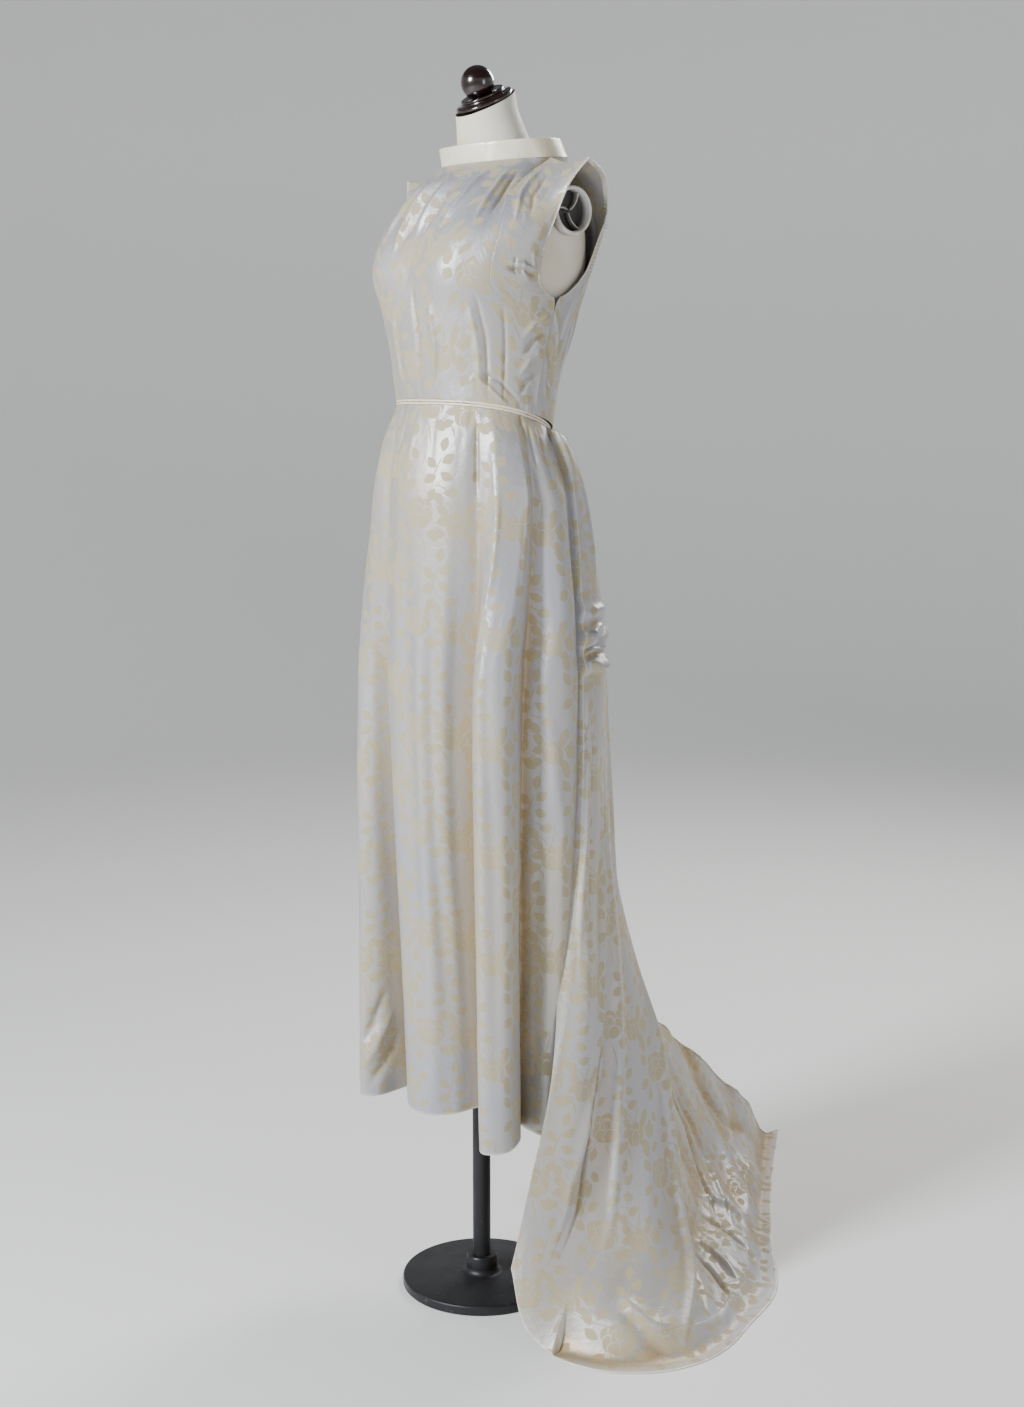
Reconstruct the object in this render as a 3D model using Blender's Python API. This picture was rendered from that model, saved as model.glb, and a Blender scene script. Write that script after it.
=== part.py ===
# Floor length sleeveless gown with a long train, standing on a limbless dress form
# Origin: centre of the underside of the form's foot. +Z up
# The wearer's front faces -Y and the wearer's left is +X
import math

import bmesh
import bpy
import numpy as np
from mathutils import Matrix, Vector

# Cloth and gaps
CLOTH = 0.0020
SEAM_GAP = 0.0004
COLLAR_GAP = 0.0010

# Waistline: level in front, lower at the back
WAIST_HALF_WIDTH = 0.128
WAIST_HALF_DEPTH = 0.099
WAIST_CENTRE_Y = -0.013
WAIST_Z_FRONT = 1.384
WAIST_Z_BACK = 1.330
ROLL_RADIUS = 0.0019
ROLL_OUT = 0.0010

# High hip, where the skirt leaves the form
HIP_Z = 1.240
HIP_HALF_WIDTH = 0.171
HIP_HALF_DEPTH = 0.137
HIP_CENTRE_Y = -0.010
KNEE_Z = 0.950
FOLD_TIP_HALF_WIDTH = 0.184
FOLD_TIP_HALF_DEPTH = 0.141
HIP_FOLD = 0.40
FLARE_FOLD = 0.22

# Collar band
COLLAR_HALF_WIDTH = 0.103
COLLAR_HALF_DEPTH = 0.084
COLLAR_CENTRE_Y = 0.048
COLLAR_FOOT_Z_FRONT = 1.722
COLLAR_FOOT_Z_BACK = 1.738
COLLAR_HEIGHT = 0.027
COLLAR_LEAN = 0.004
COLLAR_LEAN_BEHIND = -0.011
COLLAR_THICKNESS = 0.0026

# Shoulder point
SHOULDER_X = 0.208
SHOULDER_Y = 0.028
SHOULDER_Z = 1.718
SHOULDER_SAG = 0.008

# Dress form
POLE_RADIUS = 0.014
FOOT_RADIUS = 0.125
FOOT_HEIGHT = 0.016
FOOT_EDGE = 0.004
TORSO_FOOT_Z = 1.180
NECK_TILT = math.radians(28.0)
NECK_TOP_Y = 0.012
NECK_TOP_Z = 1.812
NECK_TOP_HALF = 0.043
CAP_RADIUS = 0.0435
KNOB_RADIUS = 0.0245
SOCKET_CENTRE = (0.130, 0.040, 1.651)
SOCKET_RADIUS = 0.0340
SOCKET_WALL = 0.0050
SOCKET_LENGTH = 0.034
SOCKET_CUP = 0.020
VANE_HALF_THICKNESS = 0.0016
VANE_HEIGHT = 0.013

# Counts of faces
SKIRT_STEPS = 3
SKIRT_ROWS = 11
BODICE_COLUMNS = 13
# Rows of the bodice from the neck down to the waist, closest at the underarm
BODICE_LEVELS = (
    1.0, 0.94, 0.875, 0.81, 0.745, 0.68, 0.62, 0.57, 0.535,
    0.512, 0.50, 0.43, 0.36, 0.29, 0.22, 0.145, 0.07, 0.0,
)
TRAIN_STEPS = 3
FLOOR_REACH = 0.0026

# Skirt folds, once round from the wearer's right side seam over the front to the left and over the back.
# waist: degrees from centre front. knee_x, knee_y: at KNEE_Z. hem_x, hem_y, hem_z: at the hem
SKIRT_FOLDS = (
    ("right_seam", -112, -0.140, 0.070, -0.130, 0.066, 0.305),
    ("right_hip_a", -104, -0.168, 0.060, -0.160, 0.064, 0.300),
    ("right_hip_b", -97, -0.186, 0.028, -0.188, 0.036, 0.297),
    ("right_hip_c", -88, -0.180, -0.010, -0.186, -0.008, 0.296),
    ("right_dip", -82, -0.164, -0.024, -0.158, -0.024, 0.300),
    ("lobe_a_outer", -76, -0.178, -0.052, -0.180, -0.056, 0.296),
    ("lobe_a_side", -66, -0.180, -0.084, -0.182, -0.090, 0.293),
    ("lobe_a_tip", -50, -0.163, -0.108, -0.163, -0.112, 0.290),
    ("lobe_a_inner", -36, -0.139, -0.104, -0.144, -0.096, 0.291),
    ("lobe_a_flank", -27, -0.122, -0.084, -0.140, -0.058, 0.294),
    ("valley_ab", -21, -0.104, -0.070, -0.126, -0.020, 0.304),
    ("lobe_b_flank", -17, -0.086, -0.088, -0.107, -0.040, 0.304),
    ("lobe_b_edge", -13, -0.068, -0.116, -0.083, -0.082, 0.302),
    ("lobe_b_left", -5, -0.034, -0.131, -0.042, -0.106, 0.300),
    ("lobe_b_front", 9, 0.006, -0.134, -0.004, -0.101, 0.300),
    ("lobe_b_right", 24, 0.042, -0.124, 0.020, -0.072, 0.302),
    ("lobe_b_turn", 38, 0.062, -0.096, 0.030, -0.036, 0.306),
    ("valley_bc", 46, 0.080, -0.070, 0.050, -0.012, 0.310),
    ("lobe_c_flank", 52, 0.096, -0.082, 0.084, -0.048, 0.304),
    ("lobe_c_inner", 57, 0.116, -0.106, 0.122, -0.098, 0.294),
    ("lobe_c_tip", 63, 0.140, -0.114, 0.148, -0.116, 0.289),
    ("lobe_c_outer", 70, 0.162, -0.092, 0.168, -0.090, 0.289),
    ("lobe_c_side", 76, 0.158, -0.060, 0.150, -0.050, 0.292),
    ("valley_cd", 81, 0.140, -0.034, 0.108, -0.016, 0.298),
    ("lobe_d_inner", 85, 0.156, -0.020, 0.134, -0.010, 0.293),
    ("lobe_d_front", 90, 0.176, -0.004, 0.160, -0.004, 0.291),
    ("lobe_d_tip", 97, 0.181, 0.022, 0.167, 0.022, 0.292),
    ("lobe_d_back", 104, 0.168, 0.046, 0.156, 0.048, 0.296),
    ("left_seam", 112, 0.140, 0.060, 0.126, 0.058, 0.303),
)
BACK_FOLDS = (
    ("back_left_flank", 120, 0.128, 0.082, 0.112, 0.082, 0.306),
    ("back_left_lobe", 130, 0.122, 0.108, 0.108, 0.112, 0.300),
    ("back_left_turn", 142, 0.094, 0.122, 0.082, 0.124, 0.300),
    ("back_left_valley", 154, 0.060, 0.110, 0.050, 0.094, 0.308),
    ("back_middle_left", 166, 0.034, 0.128, 0.026, 0.120, 0.303),
    ("back_middle", 179, 0.000, 0.136, -0.004, 0.130, 0.301),
    ("back_middle_right", 192, -0.036, 0.128, -0.036, 0.120, 0.303),
    ("back_right_valley", 206, -0.062, 0.110, -0.058, 0.092, 0.308),
    ("back_right_turn", 218, -0.096, 0.122, -0.088, 0.122, 0.300),
    ("back_right_lobe", 230, -0.122, 0.108, -0.114, 0.112, 0.300),
    ("back_right_flank", 240, -0.128, 0.084, -0.116, 0.084, 0.304),
)

# Bodice edges by row. front and back: centre lines (y, z)
# edge: side seam up to the underarm, then the armhole
BODICE_SECTIONS = (
    # row, front_y, front_z, back_y, back_z
    (0.00, -0.112, 1.388, 0.086, 1.334),
    (0.25, -0.121, 1.448, 0.096, 1.410),
    (0.50, -0.129, 1.524, 0.114, 1.500),
    (0.62, -0.126, 1.566, 0.122, 1.558),
    (0.74, -0.112, 1.618, 0.128, 1.618),
    (0.86, -0.086, 1.676, 0.131, 1.680),
    (0.94, -0.058, 1.706, 0.133, 1.714),
    (1.00, -0.036, 1.7216, 0.132, 1.7376),
)
FRONT_EDGE = (
    # row, x, y, z
    (0.00, 0.1275, -0.0040, 1.3635),
    (0.25, 0.1370, 0.0040, 1.440),
    (0.45, 0.1500, 0.0140, 1.512),
    (0.50, 0.1528, 0.0170, 1.531),
    (0.52, 0.1532, 0.0060, 1.535),
    (0.56, 0.1545, -0.0120, 1.549),
    (0.62, 0.1572, -0.0152, 1.574),
    (0.70, 0.1620, -0.0110, 1.602),
    (0.80, 0.1715, 0.0005, 1.644),
    (0.92, 0.1890, 0.0130, 1.690),
    (1.00, 0.2080, 0.0280, 1.718),
)
BACK_EDGE = (
    # row, x, y, z
    (0.00, 0.1275, -0.0040, 1.3635),
    (0.25, 0.1370, 0.0040, 1.440),
    (0.45, 0.1500, 0.0140, 1.512),
    (0.50, 0.1528, 0.0175, 1.531),
    (0.52, 0.1532, 0.0270, 1.5345),
    (0.56, 0.1532, 0.0470, 1.548),
    (0.62, 0.1542, 0.0690, 1.567),
    (0.70, 0.1570, 0.0870, 1.606),
    (0.80, 0.1650, 0.1010, 1.650),
    (0.92, 0.1870, 0.0800, 1.697),
    (1.00, 0.2080, 0.0280, 1.718),
)
UNDERARM_ROW = 0.505
BUST_X = 0.084
BUST_Z = 1.576
BUST_OUT = 0.017
BUST_WIDE = 0.048
BUST_TALL = 0.060

# Soft drag folds of the bodice, seen from the front
DRAG_FOLDS = (
    # name, start x, start z, end x, end z, half width, height
    ("chest_right_a", -0.030, 1.700, -0.100, 1.620, 0.009, 0.0030),
    ("chest_right_b", -0.010, 1.690, -0.060, 1.590, 0.010, 0.0026),
    ("chest_left_a", 0.040, 1.690, 0.070, 1.610, 0.010, 0.0028),
    ("chest_left_b", 0.085, 1.680, 0.120, 1.600, 0.009, 0.0024),
    ("rib_left", 0.095, 1.530, 0.070, 1.440, 0.010, 0.0024),
    ("rib_right", -0.090, 1.530, -0.070, 1.440, 0.011, 0.0022),
)

# Train lines from the edge beside the left hip round the back to the far edge, each by station.
# waist: degrees. hip, tuck: x, y. knee, calf, low, hem: x, y, z
TRAIN_LINES = (
    ("near_edge", 113, (0.161, 0.051), (0.167, 0.054),
     (0.182, 0.036, 0.680), (0.186, 0.006, 0.470), (0.180, -0.052, 0.240), (0.176, -0.086, 0.110)),
    ("near_bulge", 118, (0.156, 0.074), (0.163, 0.078),
     (0.185, 0.056, 0.680), (0.204, 0.036, 0.455), (0.206, -0.010, 0.200), (0.214, -0.092, 0.034)),
    ("crease", 124, (0.142, 0.094), (0.152, 0.104),
     (0.166, 0.092, 0.680), (0.190, 0.080, 0.450), (0.216, 0.044, 0.200), (0.262, -0.078, 0.0023)),
    ("face_left", 130, (0.122, 0.113), (0.132, 0.130),
     (0.153, 0.116, 0.675), (0.190, 0.112, 0.430), (0.246, 0.078, 0.160), (0.306, -0.068, 0.0021)),
    ("face_middle", 138, (0.106, 0.124), (0.116, 0.142),
     (0.138, 0.146, 0.670), (0.188, 0.152, 0.420), (0.262, 0.112, 0.150), (0.352, -0.043, 0.0021)),
    ("face_right", 146, (0.087, 0.134), (0.097, 0.152),
     (0.119, 0.170, 0.670), (0.182, 0.184, 0.410), (0.268, 0.150, 0.132), (0.396, 0.010, 0.0021)),
    ("ridge", 155, (0.066, 0.142), (0.077, 0.160),
     (0.098, 0.186, 0.670), (0.172, 0.210, 0.400), (0.272, 0.184, 0.096), (0.414, 0.074, 0.0021)),
    ("ridge_under", 164, (0.043, 0.148), (0.053, 0.165),
     (0.068, 0.194, 0.660), (0.138, 0.236, 0.380), (0.246, 0.222, 0.060), (0.408, 0.138, 0.0021)),
    ("floor_valley", 174, (0.018, 0.152), (0.024, 0.167),
     (0.034, 0.194, 0.650), (0.090, 0.262, 0.360), (0.190, 0.284, 0.044), (0.380, 0.212, 0.0021)),
    ("far_swell", 186, (-0.010, 0.153), (-0.008, 0.168),
     (0.002, 0.198, 0.640), (0.044, 0.296, 0.370), (0.120, 0.360, 0.066), (0.332, 0.322, 0.0021)),
    ("far_dip", 198, (-0.041, 0.150), (-0.042, 0.165),
     (-0.022, 0.196, 0.640), (0.006, 0.312, 0.360), (0.058, 0.424, 0.070), (0.196, 0.462, 0.0021)),
    ("far_face", 211, (-0.073, 0.141), (-0.075, 0.156),
     (-0.056, 0.194, 0.640), (-0.044, 0.328, 0.376), (-0.030, 0.510, 0.118), (0.034, 0.640, 0.0021)),
    ("far_edge", 224, (-0.101, 0.126), (-0.104, 0.141),
     (-0.094, 0.186, 0.660), (-0.104, 0.340, 0.424), (-0.140, 0.590, 0.226), (-0.131, 0.838, 0.0021)),
)
TRAIN_TOP_OUT = 0.0038
TRAIN_TOP_DROP = 0.0023
TRAIN_SHELF = 0.024
TRAIN_SHELF_DROP = 0.009
TRAIN_HIP_Z = 1.180
TRAIN_TUCK_Z = 1.020
TRAIN_STATIONS = (0.00, 0.02, 0.14, 0.27, 0.50, 0.68, 0.86, 1.00)
# Rows of the train: from station, to station, count. They are closest in the bustle tuck
TRAIN_ROW_SPANS = (
    (0.00, 0.02, 1),
    (0.02, 0.20, 3),
    (0.20, 0.31, 8),
    (0.31, 0.50, 3),
    (0.50, 0.86, 5),
    (0.86, 0.98, 4),
    (0.98, 1.00, 1),
)
# Ridges of the bustle tuck: height on the panel, rise at the near edge, half width, how far it stands out
TUCK_RIDGES = (
    ("upper", 1.062, 0.020, 0.011, 0.0050),
    ("middle", 1.034, 0.008, 0.009, 0.0080),
    ("lower", 1.006, -0.006, 0.010, 0.0065),
)

# Torso of the form: height, half width, front y, back y, slope of the ring toward the back,
# and how square the back half of the ring is, where 2 is an ellipse
TORSO_SECTIONS = (
    (TORSO_FOOT_Z, 0.112, -0.086, 0.070, 0.00, 2.0),
    (1.190, 0.127, -0.099, 0.082, 0.00, 2.0),
    (1.215, 0.136, -0.105, 0.090, 0.00, 2.0),
    (1.250, 0.137, -0.105, 0.090, 0.00, 2.0),
    (1.310, 0.126, -0.101, 0.078, 0.00, 2.0),
    (1.360, 0.113, -0.098, 0.071, 0.00, 2.0),
    (1.400, 0.114, -0.099, 0.074, 0.00, 2.0),
    (1.450, 0.123, -0.106, 0.084, 0.00, 2.2),
    (1.510, 0.138, -0.114, 0.098, 0.00, 2.8),
    (1.545, 0.147, -0.113, 0.106, 0.00, 3.4),
    (1.580, 0.150, -0.107, 0.112, 0.00, 4.0),
    (1.620, 0.150, -0.090, 0.114, 0.00, 3.6),
    (1.652, 0.147, -0.066, 0.110, 0.00, 2.8),
    (1.680, 0.138, -0.040, 0.100, 0.00, 2.2),
    (1.7005, 0.125, -0.014, 0.0925, 0.00, 2.0),
    (1.7117, 0.105, -0.003, 0.0895, 0.00, 2.0),
    (1.7178, 0.082, -0.012, 0.088, 0.06, 2.0),
    (1.732, 0.061, -0.016, 0.087, 0.22, 2.0),
    (1.760, 0.054, -0.024, 0.072, 0.36, 2.0),
    (1.790, 0.046, -0.028, 0.059, 0.46, 2.0),
    (NECK_TOP_Z, NECK_TOP_HALF, NECK_TOP_Y - 0.043, NECK_TOP_Y + 0.043, math.tan(NECK_TILT), 2.0),
)
TORSO_SEGMENTS = 30
SOCKET_SEGMENTS = 22


def clear_scene():
    for thing in list(bpy.data.objects):
        bpy.data.objects.remove(thing, do_unlink=True)


def material(name, colour, roughness, metallic=0.0, sheen=0.0, coat=0.0):
    made = bpy.data.materials.new(name)
    made.use_nodes = True
    shader = made.node_tree.nodes["Principled BSDF"]
    shader.inputs["Base Color"].default_value = (*colour, 1.0)
    shader.inputs["Roughness"].default_value = roughness
    shader.inputs["Metallic"].default_value = metallic
    shader.inputs["Sheen Weight"].default_value = sheen
    shader.inputs["Coat Weight"].default_value = coat
    made.diffuse_color = (*colour, 1.0)
    return made


def slopes(xs, ys):
    # Slopes of a smooth curve that never overshoots its rows
    gaps = np.diff(xs)
    steps = np.diff(ys, axis=0) / gaps.reshape((-1,) + (1,) * (ys.ndim - 1))
    result = np.zeros_like(ys)
    for i in range(1, len(xs) - 1):
        before, after = steps[i - 1], steps[i]
        same = before * after > 0
        w1 = 2 * gaps[i] + gaps[i - 1]
        w2 = gaps[i] + 2 * gaps[i - 1]
        low = np.where(same, before, 1.0)
        high = np.where(same, after, 1.0)
        result[i] = np.where(same, (w1 + w2) / (w1 / low + w2 / high), 0.0)
    result[0] = steps[0]
    result[-1] = steps[-1]
    return result


def hermite(xs, ys, tangents, x):
    i = int(min(max(np.searchsorted(xs, x, side="right") - 1, 0), len(xs) - 2))
    gap = xs[i + 1] - xs[i]
    t = (x - xs[i]) / gap
    h00 = 2 * t**3 - 3 * t**2 + 1
    h10 = t**3 - 2 * t**2 + t
    h01 = -2 * t**3 + 3 * t**2
    h11 = t**3 - t**2
    return h00 * ys[i] + h10 * gap * tangents[i] + h01 * ys[i + 1] + h11 * gap * tangents[i + 1]


def along(xs, ys, x):
    xs = np.asarray(xs, float)
    ys = np.asarray(ys, float)
    return hermite(xs, ys, slopes(xs, ys), x)


def smooth_step(low, high, x):
    t = min(max((x - low) / (high - low), 0.0), 1.0)
    return t * t * (3 - 2 * t)


def through_rows(rows, steps):
    # Smooth curve through table rows, spaced by distance, with a fixed number of steps from row to row
    rows = np.asarray(rows, float)
    spans = [max(np.linalg.norm(b[-3:] - a[-3:]), 0.004) ** 0.5 for a, b in zip(rows, rows[1:])]
    xs = np.concatenate([[0.0], np.cumsum(spans)])
    tangents = np.zeros_like(rows)
    for i in range(1, len(rows) - 1):
        before = (rows[i] - rows[i - 1]) / (xs[i] - xs[i - 1])
        after = (rows[i + 1] - rows[i]) / (xs[i + 1] - xs[i])
        share = (xs[i] - xs[i - 1]) / (xs[i + 1] - xs[i - 1])
        tangents[i] = before * (1 - share) + after * share
    tangents[0] = (rows[1] - rows[0]) / (xs[1] - xs[0])
    tangents[-1] = (rows[-1] - rows[-2]) / (xs[-1] - xs[-2])
    result = []
    for i in range(len(rows) - 1):
        for k in range(steps):
            x = xs[i] + (xs[i + 1] - xs[i]) * k / steps
            result.append(hermite(xs, rows, tangents, x))
    result.append(rows[-1])
    return np.array(result)


def grid_normals(points, closed):
    # Outward normals of a grid whose rows run down and whose columns run round the body
    if closed:
        across = np.roll(points, -1, axis=1) - np.roll(points, 1, axis=1)
    else:
        across = np.gradient(points, axis=1)
    down = np.gradient(points, axis=0)
    normals = np.cross(down, across)
    lengths = np.linalg.norm(normals, axis=2, keepdims=True)
    return normals / np.maximum(lengths, 1e-9)


def solid_from_faces(name, vertices, faces, look, smooth=True):
    mesh = bpy.data.meshes.new(name)
    mesh.from_pydata([tuple(v) for v in vertices], [], faces)
    body = bmesh.new()
    body.from_mesh(mesh)
    bmesh.ops.recalc_face_normals(body, faces=body.faces)
    bmesh.ops.triangulate(body, faces=body.faces)
    body.to_mesh(mesh)
    body.free()
    for face in mesh.polygons:
        face.use_smooth = smooth
    mesh.materials.append(look)
    made = bpy.data.objects.new(name, mesh)
    bpy.context.scene.collection.objects.link(made)
    return made


def wall(name, outer, inner, look, closed=False):
    # Closed wall between two grids of the same rows and columns
    rows, columns, _ = outer.shape
    vertices = list(outer.reshape(-1, 3)) + list(inner.reshape(-1, 3))
    shift = rows * columns

    def at(r, c):
        return r * columns + c % columns

    faces = []
    last = columns if closed else columns - 1
    for r in range(rows - 1):
        for c in range(last):
            quad = (at(r, c), at(r, c + 1), at(r + 1, c + 1), at(r + 1, c))
            faces.append(quad)
            faces.append(tuple(shift + i for i in reversed(quad)))
    for c in range(last):
        for r, turn in ((0, True), (rows - 1, False)):
            quad = (at(r, c), at(r, c + 1), shift + at(r, c + 1), shift + at(r, c))
            faces.append(tuple(reversed(quad)) if turn else quad)
    if not closed:
        for c, turn in ((0, False), (columns - 1, True)):
            for r in range(rows - 1):
                quad = (at(r, c), at(r + 1, c), shift + at(r + 1, c), shift + at(r, c))
                faces.append(tuple(reversed(quad)) if turn else quad)
    return solid_from_faces(name, vertices, faces, look)


def lathe(name, profile, segments, look, place):
    # Closed body turned about Z from a profile of (radius, height), both ends on the axis
    vertices = []
    rings = []
    for radius, height in profile:
        if radius == 0.0:
            rings.append([len(vertices)])
            vertices.append(place @ Vector((0.0, 0.0, height)))
            continue
        ring = []
        for k in range(segments):
            angle = 2 * math.pi * k / segments
            ring.append(len(vertices))
            vertices.append(place @ Vector((radius * math.cos(angle), radius * math.sin(angle), height)))
        rings.append(ring)
    faces = []
    for low, high in zip(rings, rings[1:]):
        for k in range(segments):
            a, b = low[k % len(low)], low[(k + 1) % len(low)]
            c, d = high[(k + 1) % len(high)], high[k % len(high)]
            faces.append(tuple(dict.fromkeys((a, b, c, d))))
    return solid_from_faces(name, vertices, faces, look)


def on_ellipse(degrees, half_width, half_depth, centre_y):
    angle = math.radians(degrees)
    return np.array([half_width * math.sin(angle), centre_y - half_depth * math.cos(angle)])


def waist_z(degrees):
    # The waistline drops from the sides to the back
    share = 0.5 - 0.5 * math.cos(math.radians(degrees))
    return WAIST_Z_FRONT + (WAIST_Z_BACK - WAIST_Z_FRONT) * share**1.5


# Skirt
def fold_depth(spot):
    # How far a spot lies inside the line round the fold tips, as a share
    reach = math.hypot(spot[0] / FOLD_TIP_HALF_WIDTH, spot[1] / FOLD_TIP_HALF_DEPTH)
    return max(1.0 - reach, 0.0)


def skirt_column(row, level):
    waist_degrees = row[0]
    waist = on_ellipse(waist_degrees, WAIST_HALF_WIDTH, WAIST_HALF_DEPTH, WAIST_CENTRE_Y)
    hip = on_ellipse(waist_degrees, HIP_HALF_WIDTH, HIP_HALF_DEPTH, HIP_CENTRE_Y)
    knee = row[1:3]
    hem = row[3:5]
    top_z = waist_z(waist_degrees) - 2 * ROLL_RADIUS - SEAM_GAP
    heights = [top_z, top_z - 0.055, HIP_Z, KNEE_Z, row[5]]
    depth = fold_depth(knee)
    flare = (waist + (hip - waist) * 0.58) * (1 - FLARE_FOLD * depth)
    hip = hip * (1 - HIP_FOLD * depth)
    spots = [waist, flare, hip, knee, hem]
    z = heights[0] + (heights[-1] - heights[0]) * level
    xs = [-h for h in heights]
    spot = along(xs, np.array(spots), -z)
    return np.array([spot[0], spot[1], z])


def skirt_levels():
    # Rows from waist to hem, closer together where the cloth rounds over the hips
    shares = np.linspace(0.0, 1.0, SKIRT_ROWS)
    return [0.45 * share + 0.55 * share**2.4 for share in shares]


def trim_ends(outer, inner, left, right):
    # Moves the end columns in by half the seam gap
    for grid in (outer, inner):
        if left:
            step = grid[:, 1] - grid[:, 0]
            grid[:, 0] += step / np.linalg.norm(step, axis=1, keepdims=True) * left
        if right:
            step = grid[:, -2] - grid[:, -1]
            grid[:, -1] += step / np.linalg.norm(step, axis=1, keepdims=True) * right


def build_skirt(look):
    ring = list(SKIRT_FOLDS) + list(BACK_FOLDS)
    closing = (SKIRT_FOLDS[0][0], SKIRT_FOLDS[0][1] + 360) + SKIRT_FOLDS[0][2:]
    rows = [fold[1:] for fold in ring + [closing]]
    samples = through_rows(rows, SKIRT_STEPS)
    levels = skirt_levels()
    inner = np.array([[skirt_column(row, level) for row in samples] for level in levels])
    normals = grid_normals(inner[:, :-1], True)
    normals = np.concatenate([normals, normals[:, :1]], axis=1)
    outer = inner + normals * CLOTH
    outer[0, :, 2] = inner[0, :, 2]
    outer[-1, :, 2] = inner[-1, :, 2]
    split = (len(SKIRT_FOLDS) - 1) * SKIRT_STEPS
    for name, first, last in (("skirt_front", 0, split), ("skirt_back", split, inner.shape[1] - 1)):
        part_outer = outer[:, first : last + 1].copy()
        part_inner = inner[:, first : last + 1].copy()
        trim_ends(part_outer, part_inner, SEAM_GAP / 2, SEAM_GAP / 2)
        wall(name, part_outer, part_inner, look)


# Bodice
def collar_spot(degrees, height, out):
    angle = math.radians(degrees)
    x = (COLLAR_HALF_WIDTH + out) * math.sin(angle)
    y = COLLAR_CENTRE_Y - (COLLAR_HALF_DEPTH + out) * math.cos(angle)
    share = (y - COLLAR_CENTRE_Y + COLLAR_HALF_DEPTH) / (2 * COLLAR_HALF_DEPTH)
    z = COLLAR_FOOT_Z_FRONT + (COLLAR_FOOT_Z_BACK - COLLAR_FOOT_Z_FRONT) * share + height
    return np.array([x, y, z])


def bodice_top(u, back):
    # Neckline from the centre to the neck side, then the shoulder seam out to its point
    if u <= 0.5:
        degrees = 90 * (u / 0.5)
        return collar_spot(180 - degrees if back else degrees, -COLLAR_GAP, 0.0)
    neck = collar_spot(90, -COLLAR_GAP, 0.0)
    tip = np.array([SHOULDER_X, SHOULDER_Y, SHOULDER_Z])
    share = (u - 0.5) / 0.5
    spot = neck * (1 - share) + tip * share
    spot[2] -= SHOULDER_SAG * math.sin(math.pi * share)
    return spot


def drag_height(x, z):
    total = 0.0
    for _, x0, z0, x1, z1, wide, high in DRAG_FOLDS:
        length = math.hypot(x1 - x0, z1 - z0)
        run = ((x - x0) * (x1 - x0) + (z - z0) * (z1 - z0)) / length
        off = ((x - x0) * (z1 - z0) - (z - z0) * (x1 - x0)) / length
        ends = smooth_step(-0.02, 0.015, run) * (1 - smooth_step(length - 0.015, length + 0.03, run))
        total += high * ends * math.exp(-((off / wide) ** 2))
    return total


def bodice_quarter(row, u, back):
    table = np.array(BODICE_SECTIONS)
    middle = along(table[:, 0], table[:, 3:5] if back else table[:, 1:3], row)
    edges = np.array(BACK_EDGE if back else FRONT_EDGE)
    edge = along(edges[:, 0], edges[:, 1:4], row)
    angle = u * math.pi / 2
    fullness = 0.94
    x = edge[0] * math.sin(angle) ** fullness
    y = edge[1] + (middle[0] - edge[1]) * math.cos(angle) ** fullness
    z = edge[2] + (middle[1] - edge[2]) * math.cos(angle) ** 1.4
    return np.array([x, y, z])


def bodice_half(back, side):
    columns = BODICE_COLUMNS
    grid = np.zeros((len(BODICE_LEVELS), columns, 3))
    for r, row in enumerate(BODICE_LEVELS):
        pull = smooth_step(0.72, 1.0, row)
        for c in range(columns):
            u = c / (columns - 1)
            spot = bodice_quarter(row, u, back)
            spot = spot + pull * (bodice_top(u, back) - bodice_quarter(1.0, u, back))
            if not back:
                wide = (spot[0] - BUST_X) / BUST_WIDE
                tall = (spot[2] - BUST_Z) / BUST_TALL
                spot[1] -= BUST_OUT * math.exp(-(wide**2) - tall**2)
            spot[0] *= side
            if not back:
                edge_fade = 1 - smooth_step(0.8, 1.0, u)
                spot[1] -= drag_height(spot[0], spot[2]) * edge_fade * (1 - pull)
            grid[r, c] = spot
    return grid


def build_bodice(look):
    for name, back in (("bodice_front", False), ("bodice_back", True)):
        right = bodice_half(back, -1)[:, ::-1]
        left = bodice_half(back, 1)
        inner = np.concatenate([right[:, :-1], left], axis=1)
        if back:
            inner = inner[:, ::-1]
        outer = inner + grid_normals(inner, False) * CLOTH
        for end in (0, -1):
            sideways = np.array([math.copysign(CLOTH, inner[-1, end, 0]), 0.0, 0.0])
            for r, row in enumerate(BODICE_LEVELS):
                if row < UNDERARM_ROW:
                    outer[r, end] = inner[r, end] + sideways
        neck = np.abs(inner[0, :, 0]) <= COLLAR_HALF_WIDTH + CLOTH
        outer[0, ~neck] = inner[0, ~neck] + np.array([0.0, 0.0, CLOTH])
        outer[0, neck, 2] = inner[0, neck, 2]
        for grid in (outer, inner):
            grid[:, :, 1] += SEAM_GAP * (1 if back else -1)
            grid[-1, :, 2] = [lower_edge(spot) for spot in inner[-1]]
        wall(name, outer, inner, look)


def lower_edge(spot):
    forward = (WAIST_CENTRE_Y - spot[1]) / WAIST_HALF_DEPTH
    degrees = math.degrees(math.atan2(spot[0] / WAIST_HALF_WIDTH, forward))
    return waist_z(degrees) + 2 * ROLL_RADIUS + SEAM_GAP


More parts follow.
